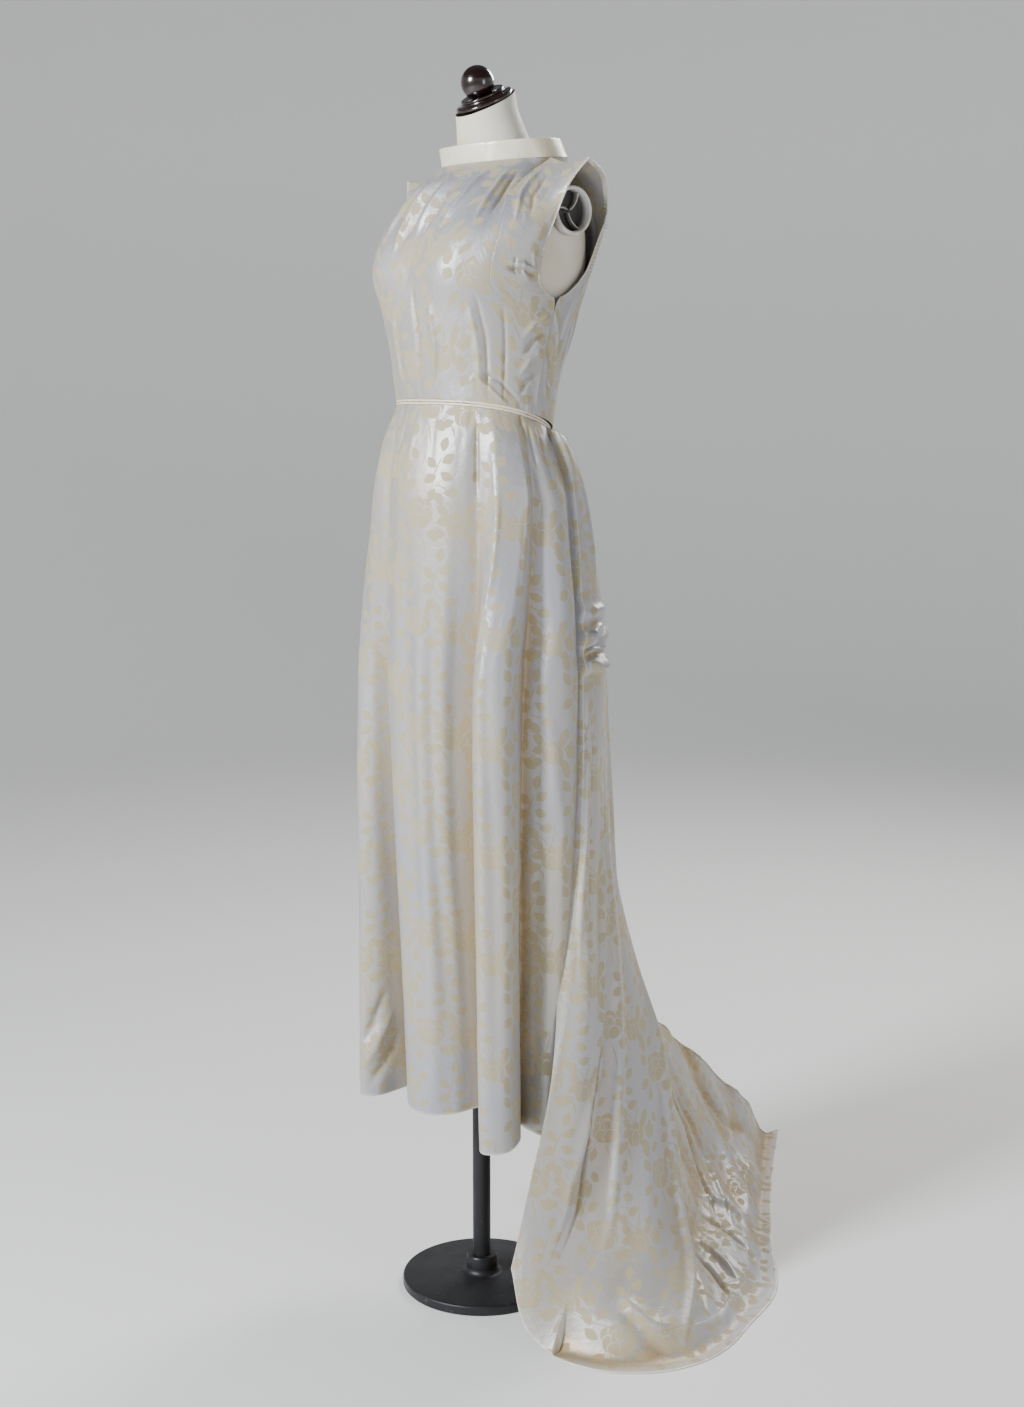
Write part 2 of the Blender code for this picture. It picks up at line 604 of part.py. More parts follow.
def build_collar(look):
    rows = 4
    columns = 36
    outer = np.zeros((rows, columns, 3))
    inner = np.zeros((rows, columns, 3))
    for r in range(rows):
        share = 1 - r / (rows - 1)
        for c in range(columns):
            degrees = 360 * c / columns
            behind = smooth_step(60, 130, 180 - abs(180 - degrees))
            lean = (COLLAR_LEAN + (COLLAR_LEAN_BEHIND - COLLAR_LEAN) * behind) * share
            outer[r, c] = collar_spot(degrees, COLLAR_HEIGHT * share, lean)
            inner[r, c] = collar_spot(degrees, COLLAR_HEIGHT * share, lean - COLLAR_THICKNESS)
            inner[r, c, 2] = outer[r, c, 2]
    wall("collar_band", outer, inner, look, closed=True)


def build_rolls(look):
    columns = 40
    around = 6
    for name, rise in (("waist_roll_upper", 1), ("waist_roll_lower", -1)):
        vertices = []
        faces = []
        for c in range(columns):
            degrees = 360 * c / columns
            flat = on_ellipse(degrees, WAIST_HALF_WIDTH, WAIST_HALF_DEPTH, WAIST_CENTRE_Y)
            outward = flat - np.array([0.0, WAIST_CENTRE_Y])
            outward = outward / np.linalg.norm(outward)
            middle_z = waist_z(degrees) + rise * (ROLL_RADIUS + SEAM_GAP / 2)
            for k in range(around):
                angle = 2 * math.pi * k / around
                out = ROLL_OUT + ROLL_RADIUS * math.cos(angle)
                spot = flat + outward * out
                vertices.append((spot[0], spot[1], middle_z + ROLL_RADIUS * math.sin(angle) * 0.97))
        for c in range(columns):
            for k in range(around):
                after = (c + 1) % columns
                faces.append((
                    c * around + k,
                    after * around + k,
                    after * around + (k + 1) % around,
                    c * around + (k + 1) % around,
                ))
        solid_from_faces(name, vertices, faces, look)


# Train
def train_line_points(line):
    _, degrees, hip, tuck, knee, calf, low, hem = line
    waist = on_ellipse(degrees, WAIST_HALF_WIDTH, WAIST_HALF_DEPTH, WAIST_CENTRE_Y)
    outward = waist - np.array([0.0, WAIST_CENTRE_Y])
    outward = outward / np.linalg.norm(outward)
    top = waist + outward * TRAIN_TOP_OUT
    top_z = waist_z(degrees) - 2 * ROLL_RADIUS - SEAM_GAP - TRAIN_TOP_DROP
    shelf = waist + outward * TRAIN_SHELF
    shelf_z = top_z - TRAIN_SHELF_DROP
    points = [
        (top[0], top[1], top_z), (shelf[0], shelf[1], shelf_z),
        (*hip, TRAIN_HIP_Z), (*tuck, TRAIN_TUCK_Z), knee, calf, low, hem,
    ]
    return np.array(points, float)


def train_grid():
    lines = np.array([train_line_points(line) for line in TRAIN_LINES])
    flat = through_rows(lines.reshape(len(lines), -1), TRAIN_STEPS)
    lines = flat.reshape(len(flat), -1, 3)
    levels = []
    for first, last, count in TRAIN_ROW_SPANS:
        levels += list(np.linspace(first, last, count, endpoint=False))
    levels.append(1.0)
    grid = np.zeros((len(levels), len(lines), 3))
    for c, line in enumerate(lines):
        for r, level in enumerate(levels):
            grid[r, c] = along(TRAIN_STATIONS, line, level)
    return grid


def tuck_out(spot, share):
    total = 0.0
    for _, height, rise, wide, out in TUCK_RIDGES:
        middle = height + rise * (1 - share)
        fade = 1 - 0.7 * smooth_step(0.1, 0.8, share)
        total += out * fade * math.exp(-(((spot[2] - middle) / wide) ** 2))
    return total


def build_train(look):
    inner = train_grid()
    rows, columns, _ = inner.shape
    normals = grid_normals(inner, False)
    for c in range(columns):
        share = c / (columns - 1)
        for r in range(rows):
            inner[r, c] += normals[r, c] * tuck_out(inner[r, c], share)
    outer = inner + grid_normals(inner, False) * CLOTH
    # The hem lies flat on the floor where it reaches it
    on_floor = inner[-1, :, 2] < FLOOR_REACH
    for r in (-2, -1):
        inner[r, on_floor, 2] = 0.0
        outer[r, on_floor, 2] = CLOTH
        outer[r, on_floor, :2] = inner[r, on_floor, :2]
    outer[:, :, 2] = np.maximum(outer[:, :, 2], CLOTH)
    inner[:, :, 2] = np.maximum(inner[:, :, 2], 0.0)
    wall("train", outer, inner, look)


# Dress form
def build_torso(look):
    sections = np.array(TORSO_SECTIONS)
    vertices = []
    for z, half, front, back, slope, square in sections:
        centre = (front + back) / 2
        depth = (back - front) / 2
        for k in range(TORSO_SEGMENTS):
            angle = 2 * math.pi * k / TORSO_SEGMENTS
            power = 2 / square if math.cos(angle) < 0 else 1.0
            x = half * math.copysign(abs(math.sin(angle)) ** power, math.sin(angle))
            y = centre - depth * math.copysign(abs(math.cos(angle)) ** power, math.cos(angle))
            vertices.append((x, y, z + slope * (y - centre)))
    faces = []
    for r in range(len(sections) - 1):
        for k in range(TORSO_SEGMENTS):
            after = (k + 1) % TORSO_SEGMENTS
            low = r * TORSO_SEGMENTS
            high = low + TORSO_SEGMENTS
            faces.append((low + k, low + after, high + after, high + k))
    faces.append(tuple(reversed(range(TORSO_SEGMENTS))))
    top = (len(sections) - 1) * TORSO_SEGMENTS
    faces.append(tuple(top + k for k in range(TORSO_SEGMENTS)))
    torso = solid_from_faces("form_torso", vertices, faces, look)
    for side in (-1, 1):
        cutter = socket_cutter(side)
        cut = torso.modifiers.new("socket_seat", "BOOLEAN")
        cut.operation = "DIFFERENCE"
        cut.solver = "EXACT"
        cut.object = cutter


def socket_place(side):
    x, y, z = SOCKET_CENTRE
    turn = Matrix.Rotation(side * math.pi / 2, 4, "Y")
    return Matrix.Translation((side * x, y, z)) @ turn


def socket_cutter(side):
    reach = 0.08
    radius = SOCKET_RADIUS + SEAM_GAP
    profile = ((0.0, -SEAM_GAP), (radius, -SEAM_GAP), (radius, reach), (0.0, reach))
    name = "socket_cutter_left" if side > 0 else "socket_cutter_right"
    cutter = lathe(name, profile, SOCKET_SEGMENTS, bpy.data.materials["form_cover"], socket_place(side))
    cutter.hide_render = True
    cutter.display_type = "WIRE"
    return cutter


def build_sockets(ring_look):
    for side, word in ((1, "left"), (-1, "right")):
        inside = SOCKET_RADIUS - SOCKET_WALL
        floor = SOCKET_LENGTH - SOCKET_CUP
        profile = (
            (0.0, 0.0),
            (SOCKET_RADIUS, 0.0),
            (SOCKET_RADIUS, SOCKET_LENGTH - 0.0015),
            (SOCKET_RADIUS - 0.0015, SOCKET_LENGTH),
            (inside + 0.0015, SOCKET_LENGTH),
            (inside, SOCKET_LENGTH - 0.0015),
            (inside, floor),
            (0.0, floor),
        )
        lathe(f"arm_socket_{word}", profile, SOCKET_SEGMENTS, ring_look, socket_place(side))
        build_vane(side, word, inside - 2 * SEAM_GAP, floor + SEAM_GAP, ring_look)


def build_vane(side, word, reach, floor, look):
    # Three curved arms from a small hub, standing in the cup
    place = socket_place(side)
    outline = []
    arms = 3
    steps = 4
    for arm in range(arms):
        start = 2 * math.pi * arm / arms
        edges = ([], [])
        for k in range(steps + 1):
            share = k / steps
            radius = 0.0045 + (reach - 0.0045) * share
            bend = start + 0.55 * share
            for edge, turn in zip(edges, (-1, 1)):
                angle = bend + turn * math.asin(min(VANE_HALF_THICKNESS / radius, 0.9))
                edge.append((radius * math.cos(angle), radius * math.sin(angle)))
        outline.extend(edges[0])
        outline.extend(reversed(edges[1]))
    count = len(outline)
    vertices = []
    for height in (floor, floor + VANE_HEIGHT):
        for x, y in outline:
            vertices.append(place @ Vector((x, y, height)))
    faces = [tuple(reversed(range(count))), tuple(range(count, 2 * count))]
    for k in range(count):
        after = (k + 1) % count
        faces.append((k, after, count + after, count + k))
    solid_from_faces(f"socket_vane_{word}", vertices, faces, look, smooth=False)


def build_cap(look):
    tilt = Matrix.Rotation(NECK_TILT, 4, "X")
    place = Matrix.Translation((0.0, NECK_TOP_Y, NECK_TOP_Z)) @ tilt
    disc = CAP_RADIUS
    profile = [
        (0.0, SEAM_GAP),
        (disc - 0.002, SEAM_GAP),
        (disc, SEAM_GAP + 0.002),
        (disc, 0.0065),
        (disc - 0.002, 0.0085),
        (disc - 0.010, 0.0095),
        (disc - 0.011, 0.0135),
        (disc - 0.014, 0.0150),
    ]
    middle = 0.0155 + KNOB_RADIUS * 0.62
    for k in range(1, 9):
        angle = math.radians(-48 + (90 + 48) * k / 9)
        profile.append((KNOB_RADIUS * math.cos(angle), middle + KNOB_RADIUS * math.sin(angle)))
    profile.append((0.0, middle + KNOB_RADIUS))
    lathe("neck_cap", profile, 24, look, place)


def build_stand(pole_look, foot_look):
    up = Matrix.Identity(4)
    foot = (
        (0.0, 0.0),
        (FOOT_RADIUS, 0.0),
        (FOOT_RADIUS, FOOT_HEIGHT - FOOT_EDGE),
        (FOOT_RADIUS - FOOT_EDGE * 0.3, FOOT_HEIGHT - FOOT_EDGE * 0.3),
        (FOOT_RADIUS - FOOT_EDGE, FOOT_HEIGHT),
        (0.026, FOOT_HEIGHT + 0.002),
        (0.024, FOOT_HEIGHT + 0.030),
        (0.0, FOOT_HEIGHT + 0.030),
    )
    lathe("form_foot", foot, 40, foot_look, up)
    low = FOOT_HEIGHT + 0.030 + SEAM_GAP
    top = TORSO_FOOT_Z - SEAM_GAP
    pole = ((0.0, low), (POLE_RADIUS, low), (POLE_RADIUS, top), (0.0, top))
    lathe("form_pole", pole, 20, pole_look, up)


def build():
    clear_scene()
    damask = material("damask_satin", (0.86, 0.83, 0.74), 0.38, sheen=0.3)
    plain = material("plain_satin", (0.88, 0.84, 0.72), 0.35, sheen=0.3)
    cover = material("form_cover", (0.82, 0.79, 0.70), 0.75)
    wood = material("polished_wood", (0.16, 0.035, 0.02), 0.15, coat=1.0)
    ring = material("socket_plastic", (0.78, 0.78, 0.76), 0.45)
    metal = material("stand_metal", (0.10, 0.10, 0.105), 0.40, metallic=1.0)
    build_skirt(damask)
    build_train(damask)
    build_bodice(damask)
    build_collar(plain)
    build_rolls(plain)
    build_torso(cover)
    build_cap(wood)
    build_sockets(ring)
    build_stand(metal, metal)


build()
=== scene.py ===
import math

import bmesh
import bpy
import numpy as np
from mathutils import Matrix, Vector


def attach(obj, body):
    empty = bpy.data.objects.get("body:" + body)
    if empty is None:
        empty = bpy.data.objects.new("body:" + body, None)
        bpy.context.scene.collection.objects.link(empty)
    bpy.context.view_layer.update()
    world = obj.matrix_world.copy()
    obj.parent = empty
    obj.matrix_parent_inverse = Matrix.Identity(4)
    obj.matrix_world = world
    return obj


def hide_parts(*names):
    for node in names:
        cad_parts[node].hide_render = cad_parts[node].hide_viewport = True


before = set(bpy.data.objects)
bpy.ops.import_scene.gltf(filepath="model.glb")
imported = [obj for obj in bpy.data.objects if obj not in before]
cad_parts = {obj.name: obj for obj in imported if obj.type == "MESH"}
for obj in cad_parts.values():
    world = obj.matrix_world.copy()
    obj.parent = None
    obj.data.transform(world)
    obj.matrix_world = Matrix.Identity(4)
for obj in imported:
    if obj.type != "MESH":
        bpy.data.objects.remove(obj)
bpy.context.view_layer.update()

# Cloth
CLOTH = 0.0020
SEAM_GAP = 0.0004
FACE_OUT = 0.0016
TURN_RADIUS = 0.0010
TURN_DEPTH = 0.008

# Waistline and hips
WAIST_HALF_WIDTH = 0.128
WAIST_HALF_DEPTH = 0.099
WAIST_CENTRE_Y = -0.013
WAIST_Z_FRONT = 1.384
WAIST_Z_BACK = 1.330
ROLL_RADIUS = 0.0019
ROLL_OUT = 0.0010
HIP_Z = 1.240
HIP_HALF_WIDTH = 0.171
HIP_HALF_DEPTH = 0.137
HIP_CENTRE_Y = -0.010
KNEE_Z = 0.950
FOLD_TIP_HALF_WIDTH = 0.184
FOLD_TIP_HALF_DEPTH = 0.141
HIP_FOLD = 0.40
FLARE_FOLD = 0.22

# Collar band
COLLAR_HALF_WIDTH = 0.103
COLLAR_HALF_DEPTH = 0.084
COLLAR_CENTRE_Y = 0.048
COLLAR_FOOT_Z_FRONT = 1.722
COLLAR_FOOT_Z_BACK = 1.738
COLLAR_HEIGHT = 0.027
COLLAR_LEAN = 0.004
COLLAR_LEAN_BEHIND = -0.011
COLLAR_THICKNESS = 0.0026
COLLAR_GAP = 0.0010

# Shoulder point
SHOULDER_X = 0.208
SHOULDER_Y = 0.028
SHOULDER_Z = 1.718
SHOULDER_SAG = 0.008

# Skirt folds, once round from the right side seam over the front to the left and on over the back
# waist: degrees from centre front. knee_x, knee_y: at KNEE_Z. hem_x, hem_y, hem_z: at the hem
SKIRT_FOLDS = (
    ("right_seam", -112, -0.140, 0.070, -0.130, 0.066, 0.305),
    ("right_hip_a", -104, -0.168, 0.060, -0.160, 0.064, 0.300),
    ("right_hip_b", -97, -0.186, 0.028, -0.188, 0.036, 0.297),
    ("right_hip_c", -88, -0.180, -0.010, -0.186, -0.008, 0.296),
    ("right_dip", -82, -0.164, -0.024, -0.158, -0.024, 0.300),
    ("lobe_a_outer", -76, -0.178, -0.052, -0.180, -0.056, 0.296),
    ("lobe_a_side", -66, -0.180, -0.084, -0.182, -0.090, 0.293),
    ("lobe_a_tip", -50, -0.163, -0.108, -0.163, -0.112, 0.290),
    ("lobe_a_inner", -36, -0.139, -0.104, -0.144, -0.096, 0.291),
    ("lobe_a_flank", -27, -0.122, -0.084, -0.140, -0.058, 0.294),
    ("valley_ab", -21, -0.104, -0.070, -0.126, -0.020, 0.304),
    ("lobe_b_flank", -17, -0.086, -0.088, -0.107, -0.040, 0.304),
    ("lobe_b_edge", -13, -0.068, -0.116, -0.083, -0.082, 0.302),
    ("lobe_b_left", -5, -0.034, -0.131, -0.042, -0.106, 0.300),
    ("lobe_b_front", 9, 0.006, -0.134, -0.004, -0.101, 0.300),
    ("lobe_b_right", 24, 0.042, -0.124, 0.020, -0.072, 0.302),
    ("lobe_b_turn", 38, 0.062, -0.096, 0.030, -0.036, 0.306),
    ("valley_bc", 46, 0.080, -0.070, 0.050, -0.012, 0.310),
    ("lobe_c_flank", 52, 0.096, -0.082, 0.084, -0.048, 0.304),
    ("lobe_c_inner", 57, 0.116, -0.106, 0.122, -0.098, 0.294),
    ("lobe_c_tip", 63, 0.140, -0.114, 0.148, -0.116, 0.289),
    ("lobe_c_outer", 70, 0.162, -0.092, 0.168, -0.090, 0.289),
    ("lobe_c_side", 76, 0.158, -0.060, 0.150, -0.050, 0.292),
    ("valley_cd", 81, 0.140, -0.034, 0.108, -0.016, 0.298),
    ("lobe_d_inner", 85, 0.156, -0.020, 0.134, -0.010, 0.293),
    ("lobe_d_front", 90, 0.176, -0.004, 0.160, -0.004, 0.291),
    ("lobe_d_tip", 97, 0.181, 0.022, 0.167, 0.022, 0.292),
    ("lobe_d_back", 104, 0.168, 0.046, 0.156, 0.048, 0.296),
    ("left_seam", 112, 0.140, 0.060, 0.126, 0.058, 0.303),
)
BACK_FOLDS = (
    ("back_left_flank", 120, 0.128, 0.082, 0.112, 0.082, 0.306),
    ("back_left_lobe", 130, 0.122, 0.108, 0.108, 0.112, 0.300),
    ("back_left_turn", 142, 0.094, 0.122, 0.082, 0.124, 0.300),
    ("back_left_valley", 154, 0.060, 0.110, 0.050, 0.094, 0.308),
    ("back_middle_left", 166, 0.034, 0.128, 0.026, 0.120, 0.303),
    ("back_middle", 179, 0.000, 0.136, -0.004, 0.130, 0.301),
    ("back_middle_right", 192, -0.036, 0.128, -0.036, 0.120, 0.303),
    ("back_right_valley", 206, -0.062, 0.110, -0.058, 0.092, 0.308),
    ("back_right_turn", 218, -0.096, 0.122, -0.088, 0.122, 0.300),
    ("back_right_lobe", 230, -0.122, 0.108, -0.114, 0.112, 0.300),
    ("back_right_flank", 240, -0.128, 0.084, -0.116, 0.084, 0.304),
)

# Bodice: centre lines by row, then the side seam and armhole edges by row
BODICE_SECTIONS = (
    # row, front_y, front_z, back_y, back_z
    (0.00, -0.112, 1.388, 0.086, 1.334),
    (0.25, -0.121, 1.448, 0.096, 1.410),
    (0.50, -0.129, 1.524, 0.114, 1.500),
    (0.62, -0.126, 1.566, 0.122, 1.558),
    (0.74, -0.112, 1.618, 0.128, 1.618),
    (0.86, -0.086, 1.676, 0.131, 1.680),
    (0.94, -0.058, 1.706, 0.133, 1.714),
    (1.00, -0.036, 1.7216, 0.132, 1.7376),
)
FRONT_EDGE = (
    # row, x, y, z
    (0.00, 0.1275, -0.0040, 1.3635),
    (0.25, 0.1370, 0.0040, 1.440),
    (0.45, 0.1500, 0.0140, 1.512),
    (0.50, 0.1528, 0.0170, 1.531),
    (0.52, 0.1532, 0.0060, 1.535),
    (0.56, 0.1545, -0.0120, 1.549),
    (0.62, 0.1572, -0.0152, 1.574),
    (0.70, 0.1620, -0.0110, 1.602),
    (0.80, 0.1715, 0.0005, 1.644),
    (0.92, 0.1890, 0.0130, 1.690),
    (1.00, 0.2080, 0.0280, 1.718),
)
BACK_EDGE = (
    # row, x, y, z
    (0.00, 0.1275, -0.0040, 1.3635),
    (0.25, 0.1370, 0.0040, 1.440),
    (0.45, 0.1500, 0.0140, 1.512),
    (0.50, 0.1528, 0.0175, 1.531),
    (0.52, 0.1532, 0.0270, 1.5345),
    (0.56, 0.1532, 0.0470, 1.548),
    (0.62, 0.1542, 0.0690, 1.567),
    (0.70, 0.1570, 0.0870, 1.606),
    (0.80, 0.1650, 0.1010, 1.650),
    (0.92, 0.1870, 0.0800, 1.697),
    (1.00, 0.2080, 0.0280, 1.718),
)
UNDERARM_ROW = 0.505
BUST_X = 0.084
BUST_Z = 1.576
BUST_OUT = 0.017
BUST_WIDE = 0.048
BUST_TALL = 0.060

# Train lines from the edge beside the left hip round the back to the far edge, each by station
# waist: degrees. hip, tuck: x, y. knee, calf, low, hem: x, y, z
TRAIN_LINES = (
    ("near_edge", 113, (0.161, 0.051), (0.167, 0.054),
     (0.182, 0.036, 0.680), (0.186, 0.006, 0.470), (0.180, -0.052, 0.240), (0.176, -0.086, 0.110)),
    ("near_bulge", 118, (0.156, 0.074), (0.163, 0.078),
     (0.185, 0.056, 0.680), (0.204, 0.036, 0.455), (0.206, -0.010, 0.200), (0.214, -0.092, 0.034)),
    ("crease", 124, (0.142, 0.094), (0.152, 0.104),
     (0.166, 0.092, 0.680), (0.190, 0.080, 0.450), (0.216, 0.044, 0.200), (0.262, -0.078, 0.0023)),
    ("face_left", 130, (0.122, 0.113), (0.132, 0.130),
     (0.153, 0.116, 0.675), (0.190, 0.112, 0.430), (0.246, 0.078, 0.160), (0.306, -0.068, 0.0021)),
    ("face_middle", 138, (0.106, 0.124), (0.116, 0.142),
     (0.138, 0.146, 0.670), (0.188, 0.152, 0.420), (0.262, 0.112, 0.150), (0.352, -0.043, 0.0021)),
    ("face_right", 146, (0.087, 0.134), (0.097, 0.152),
     (0.119, 0.170, 0.670), (0.182, 0.184, 0.410), (0.268, 0.150, 0.132), (0.396, 0.010, 0.0021)),
    ("ridge", 155, (0.066, 0.142), (0.077, 0.160),
     (0.098, 0.186, 0.670), (0.172, 0.210, 0.400), (0.272, 0.184, 0.096), (0.414, 0.074, 0.0021)),
    ("ridge_under", 164, (0.043, 0.148), (0.053, 0.165),
     (0.068, 0.194, 0.660), (0.138, 0.236, 0.380), (0.246, 0.222, 0.060), (0.408, 0.138, 0.0021)),
    ("floor_valley", 174, (0.018, 0.152), (0.024, 0.167),
     (0.034, 0.194, 0.650), (0.090, 0.262, 0.360), (0.190, 0.284, 0.044), (0.380, 0.212, 0.0021)),
    ("far_swell", 186, (-0.010, 0.153), (-0.008, 0.168),
     (0.002, 0.198, 0.640), (0.044, 0.296, 0.370), (0.120, 0.360, 0.066), (0.332, 0.322, 0.0021)),
    ("far_dip", 198, (-0.041, 0.150), (-0.042, 0.165),
     (-0.022, 0.196, 0.640), (0.006, 0.312, 0.360), (0.058, 0.424, 0.070), (0.196, 0.462, 0.0021)),
    ("far_face", 211, (-0.073, 0.141), (-0.075, 0.156),
     (-0.056, 0.194, 0.640), (-0.044, 0.328, 0.376), (-0.030, 0.510, 0.118), (0.034, 0.640, 0.0021)),
    ("far_edge", 224, (-0.101, 0.126), (-0.104, 0.141),
     (-0.094, 0.186, 0.660), (-0.104, 0.340, 0.424), (-0.140, 0.590, 0.226), (-0.131, 0.838, 0.0021)),
)
TRAIN_TOP_OUT = 0.0038
TRAIN_TOP_DROP = 0.0023
TRAIN_SHELF = 0.024
TRAIN_SHELF_DROP = 0.009
TRAIN_HIP_Z = 1.180
TRAIN_TUCK_Z = 1.020
TRAIN_STATIONS = (0.00, 0.02, 0.14, 0.27, 0.50, 0.68, 0.86, 1.00)
TUCK_RIDGES = (
    ("upper", 1.062, 0.020, 0.011, 0.0050),
    ("middle", 1.034, 0.008, 0.009, 0.0080),
    ("lower", 1.006, -0.006, 0.010, 0.0065),
)
FLOOR_REACH = 0.0026
FLOOR_CLOTH = 0.0022

# Dress form: height, half width, front y, back y, slope of the ring toward the back
NECK_TILT = math.radians(28.0)
NECK_TOP_Y = 0.012
NECK_TOP_Z = 1.812
NECK_TOP_HALF = 0.043
TORSO_SECTIONS = (
    (1.180, 0.112, -0.086, 0.070, 0.00, 2.0),
    (1.190, 0.127, -0.099, 0.082, 0.00, 2.0),
    (1.215, 0.136, -0.105, 0.090, 0.00, 2.0),
    (1.250, 0.137, -0.105, 0.090, 0.00, 2.0),
    (1.310, 0.126, -0.101, 0.078, 0.00, 2.0),
    (1.360, 0.113, -0.098, 0.071, 0.00, 2.0),
    (1.400, 0.114, -0.099, 0.074, 0.00, 2.0),
    (1.450, 0.123, -0.106, 0.084, 0.00, 2.2),
    (1.510, 0.138, -0.114, 0.098, 0.00, 2.8),
    (1.545, 0.147, -0.113, 0.106, 0.00, 3.4),
    (1.580, 0.150, -0.107, 0.112, 0.00, 4.0),
    (1.620, 0.150, -0.090, 0.114, 0.00, 3.6),
    (1.652, 0.147, -0.066, 0.110, 0.00, 2.8),
    (1.680, 0.138, -0.040, 0.100, 0.00, 2.2),
    (1.7005, 0.125, -0.014, 0.0925, 0.00, 2.0),
    (1.7117, 0.105, -0.003, 0.0895, 0.00, 2.0),
    (1.7178, 0.082, -0.012, 0.088, 0.06, 2.0),
    (1.732, 0.061, -0.016, 0.087, 0.22, 2.0),
    (1.760, 0.054, -0.024, 0.072, 0.36, 2.0),
    (1.790, 0.046, -0.028, 0.059, 0.46, 2.0),
    (NECK_TOP_Z, NECK_TOP_HALF, NECK_TOP_Y - 0.043, NECK_TOP_Y + 0.043, math.tan(NECK_TILT), 2.0),
)


# Curves
def slopes(xs, ys):
    # Slopes of a smooth curve that never overshoots its rows
    gaps = np.diff(xs)
    steps = np.diff(ys, axis=0) / gaps.reshape((-1,) + (1,) * (ys.ndim - 1))
    result = np.zeros_like(ys)
    for i in range(1, len(xs) - 1):
        before, after = steps[i - 1], steps[i]
        same = before * after > 0
        w1 = 2 * gaps[i] + gaps[i - 1]
        w2 = gaps[i] + 2 * gaps[i - 1]
        low = np.where(same, before, 1.0)
        high = np.where(same, after, 1.0)
        result[i] = np.where(same, (w1 + w2) / (w1 / low + w2 / high), 0.0)
    result[0] = steps[0]
    result[-1] = steps[-1]
    return result


def hermite(xs, ys, tangents, at):
    i = np.clip(np.searchsorted(xs, at, side="right") - 1, 0, len(xs) - 2)
    shape = (-1,) + (1,) * (ys.ndim - 1)
    gap = (xs[i + 1] - xs[i]).reshape(shape)
    t = (at - xs[i]).reshape(shape) / gap
    h00 = 2 * t**3 - 3 * t**2 + 1
    h10 = t**3 - 2 * t**2 + t
    h01 = -2 * t**3 + 3 * t**2
    h11 = t**3 - t**2
    return h00 * ys[i] + h10 * gap * tangents[i] + h01 * ys[i + 1] + h11 * gap * tangents[i + 1]


def along(xs, ys, at):
    xs = np.asarray(xs, float)
    ys = np.asarray(ys, float)
    return hermite(xs, ys, slopes(xs, ys), np.atleast_1d(np.asarray(at, float)))


def smooth_step(low, high, x):
    t = np.clip((x - low) / (high - low), 0.0, 1.0)
    return t * t * (3 - 2 * t)


def through_rows(rows, steps):
    # Smooth curve through table rows, spaced by distance, with a fixed number of steps from row to row
    rows = np.asarray(rows, float)
    spans = [max(np.linalg.norm(b[-3:] - a[-3:]), 0.004) ** 0.5 for a, b in zip(rows, rows[1:])]
    xs = np.concatenate([[0.0], np.cumsum(spans)])
    tangents = np.zeros_like(rows)
    for i in range(1, len(rows) - 1):
        before = (rows[i] - rows[i - 1]) / (xs[i] - xs[i - 1])
        after = (rows[i + 1] - rows[i]) / (xs[i + 1] - xs[i])
        share = (xs[i] - xs[i - 1]) / (xs[i + 1] - xs[i - 1])
        tangents[i] = before * (1 - share) + after * share
    tangents[0] = (rows[1] - rows[0]) / (xs[1] - xs[0])
    tangents[-1] = (rows[-1] - rows[-2]) / (xs[-1] - xs[-2])
    at = [xs[i] + (xs[i + 1] - xs[i]) * k / steps for i in range(len(rows) - 1) for k in range(steps)]
    return hermite(xs, rows, tangents, np.array(at + [xs[-1]]))


def grid_normals(points, closed=False):
    # Outward normals of a grid whose rows run down and whose columns run round the body
    if closed:
        across = np.roll(points, -1, axis=1) - np.roll(points, 1, axis=1)
    else:
        across = np.gradient(points, axis=1)
    down = np.gradient(points, axis=0)
    normals = np.cross(down, across)
    return normals / np.maximum(np.linalg.norm(normals, axis=2, keepdims=True), 1e-9)


def lay_flat(points, middle):
    # Flat lengths of a grid in metres: across from a middle column, and down from the first row
    across = np.linalg.norm(np.diff(points, axis=1), axis=2)
    sums = np.concatenate([np.zeros((len(points), 1)), np.cumsum(across, axis=1)], axis=1)
    sums = sums - sums[:, middle : middle + 1]
    down = np.linalg.norm(np.diff(points, axis=0), axis=2)
    drops = np.concatenate([np.zeros((1, points.shape[1])), np.cumsum(down, axis=0)], axis=0)
    return sums, drops


# Soft noise on a lattice, smooth and the same each run
def lattice(ix, iy, seed):
    h = np.sin(ix * 127.1 + iy * 311.7 + seed * 74.7) * 43758.5453
    return h - np.floor(h)


def soft_noise(x, y, seed):
    ix, iy = np.floor(x), np.floor(y)
    fx, fy = x - ix, y - iy
    fx = fx * fx * fx * (fx * (fx * 6 - 15) + 10)
    fy = fy * fy * fy * (fy * (fy * 6 - 15) + 10)
    a = lattice(ix, iy, seed)
    b = lattice(ix + 1, iy, seed)
    c = lattice(ix, iy + 1, seed)
    d = lattice(ix + 1, iy + 1, seed)
    return (a * (1 - fx) + b * fx) * (1 - fy) + (c * (1 - fx) + d * fx) * fy - 0.5


# Meshes
def strip(points, u, v, fold=None, edge=None, loop=False, left=None, right=None):
    # One grid of a cloth with its texture place, how deep it lies in a fold (which drives a painted gold-brown shade
    # in the hollows), and its distance from a free edge
    rows, columns = points.shape[:2]
    return {
        "points": points,
        "left": u[:, :-1] if left is None else left,
        "right": u[:, 1:] if right is None else right,
        "v": v,
        "fold": np.zeros((rows, columns)) if fold is None else fold,
        "edge": np.ones((rows, columns)) if edge is None else edge,
    }


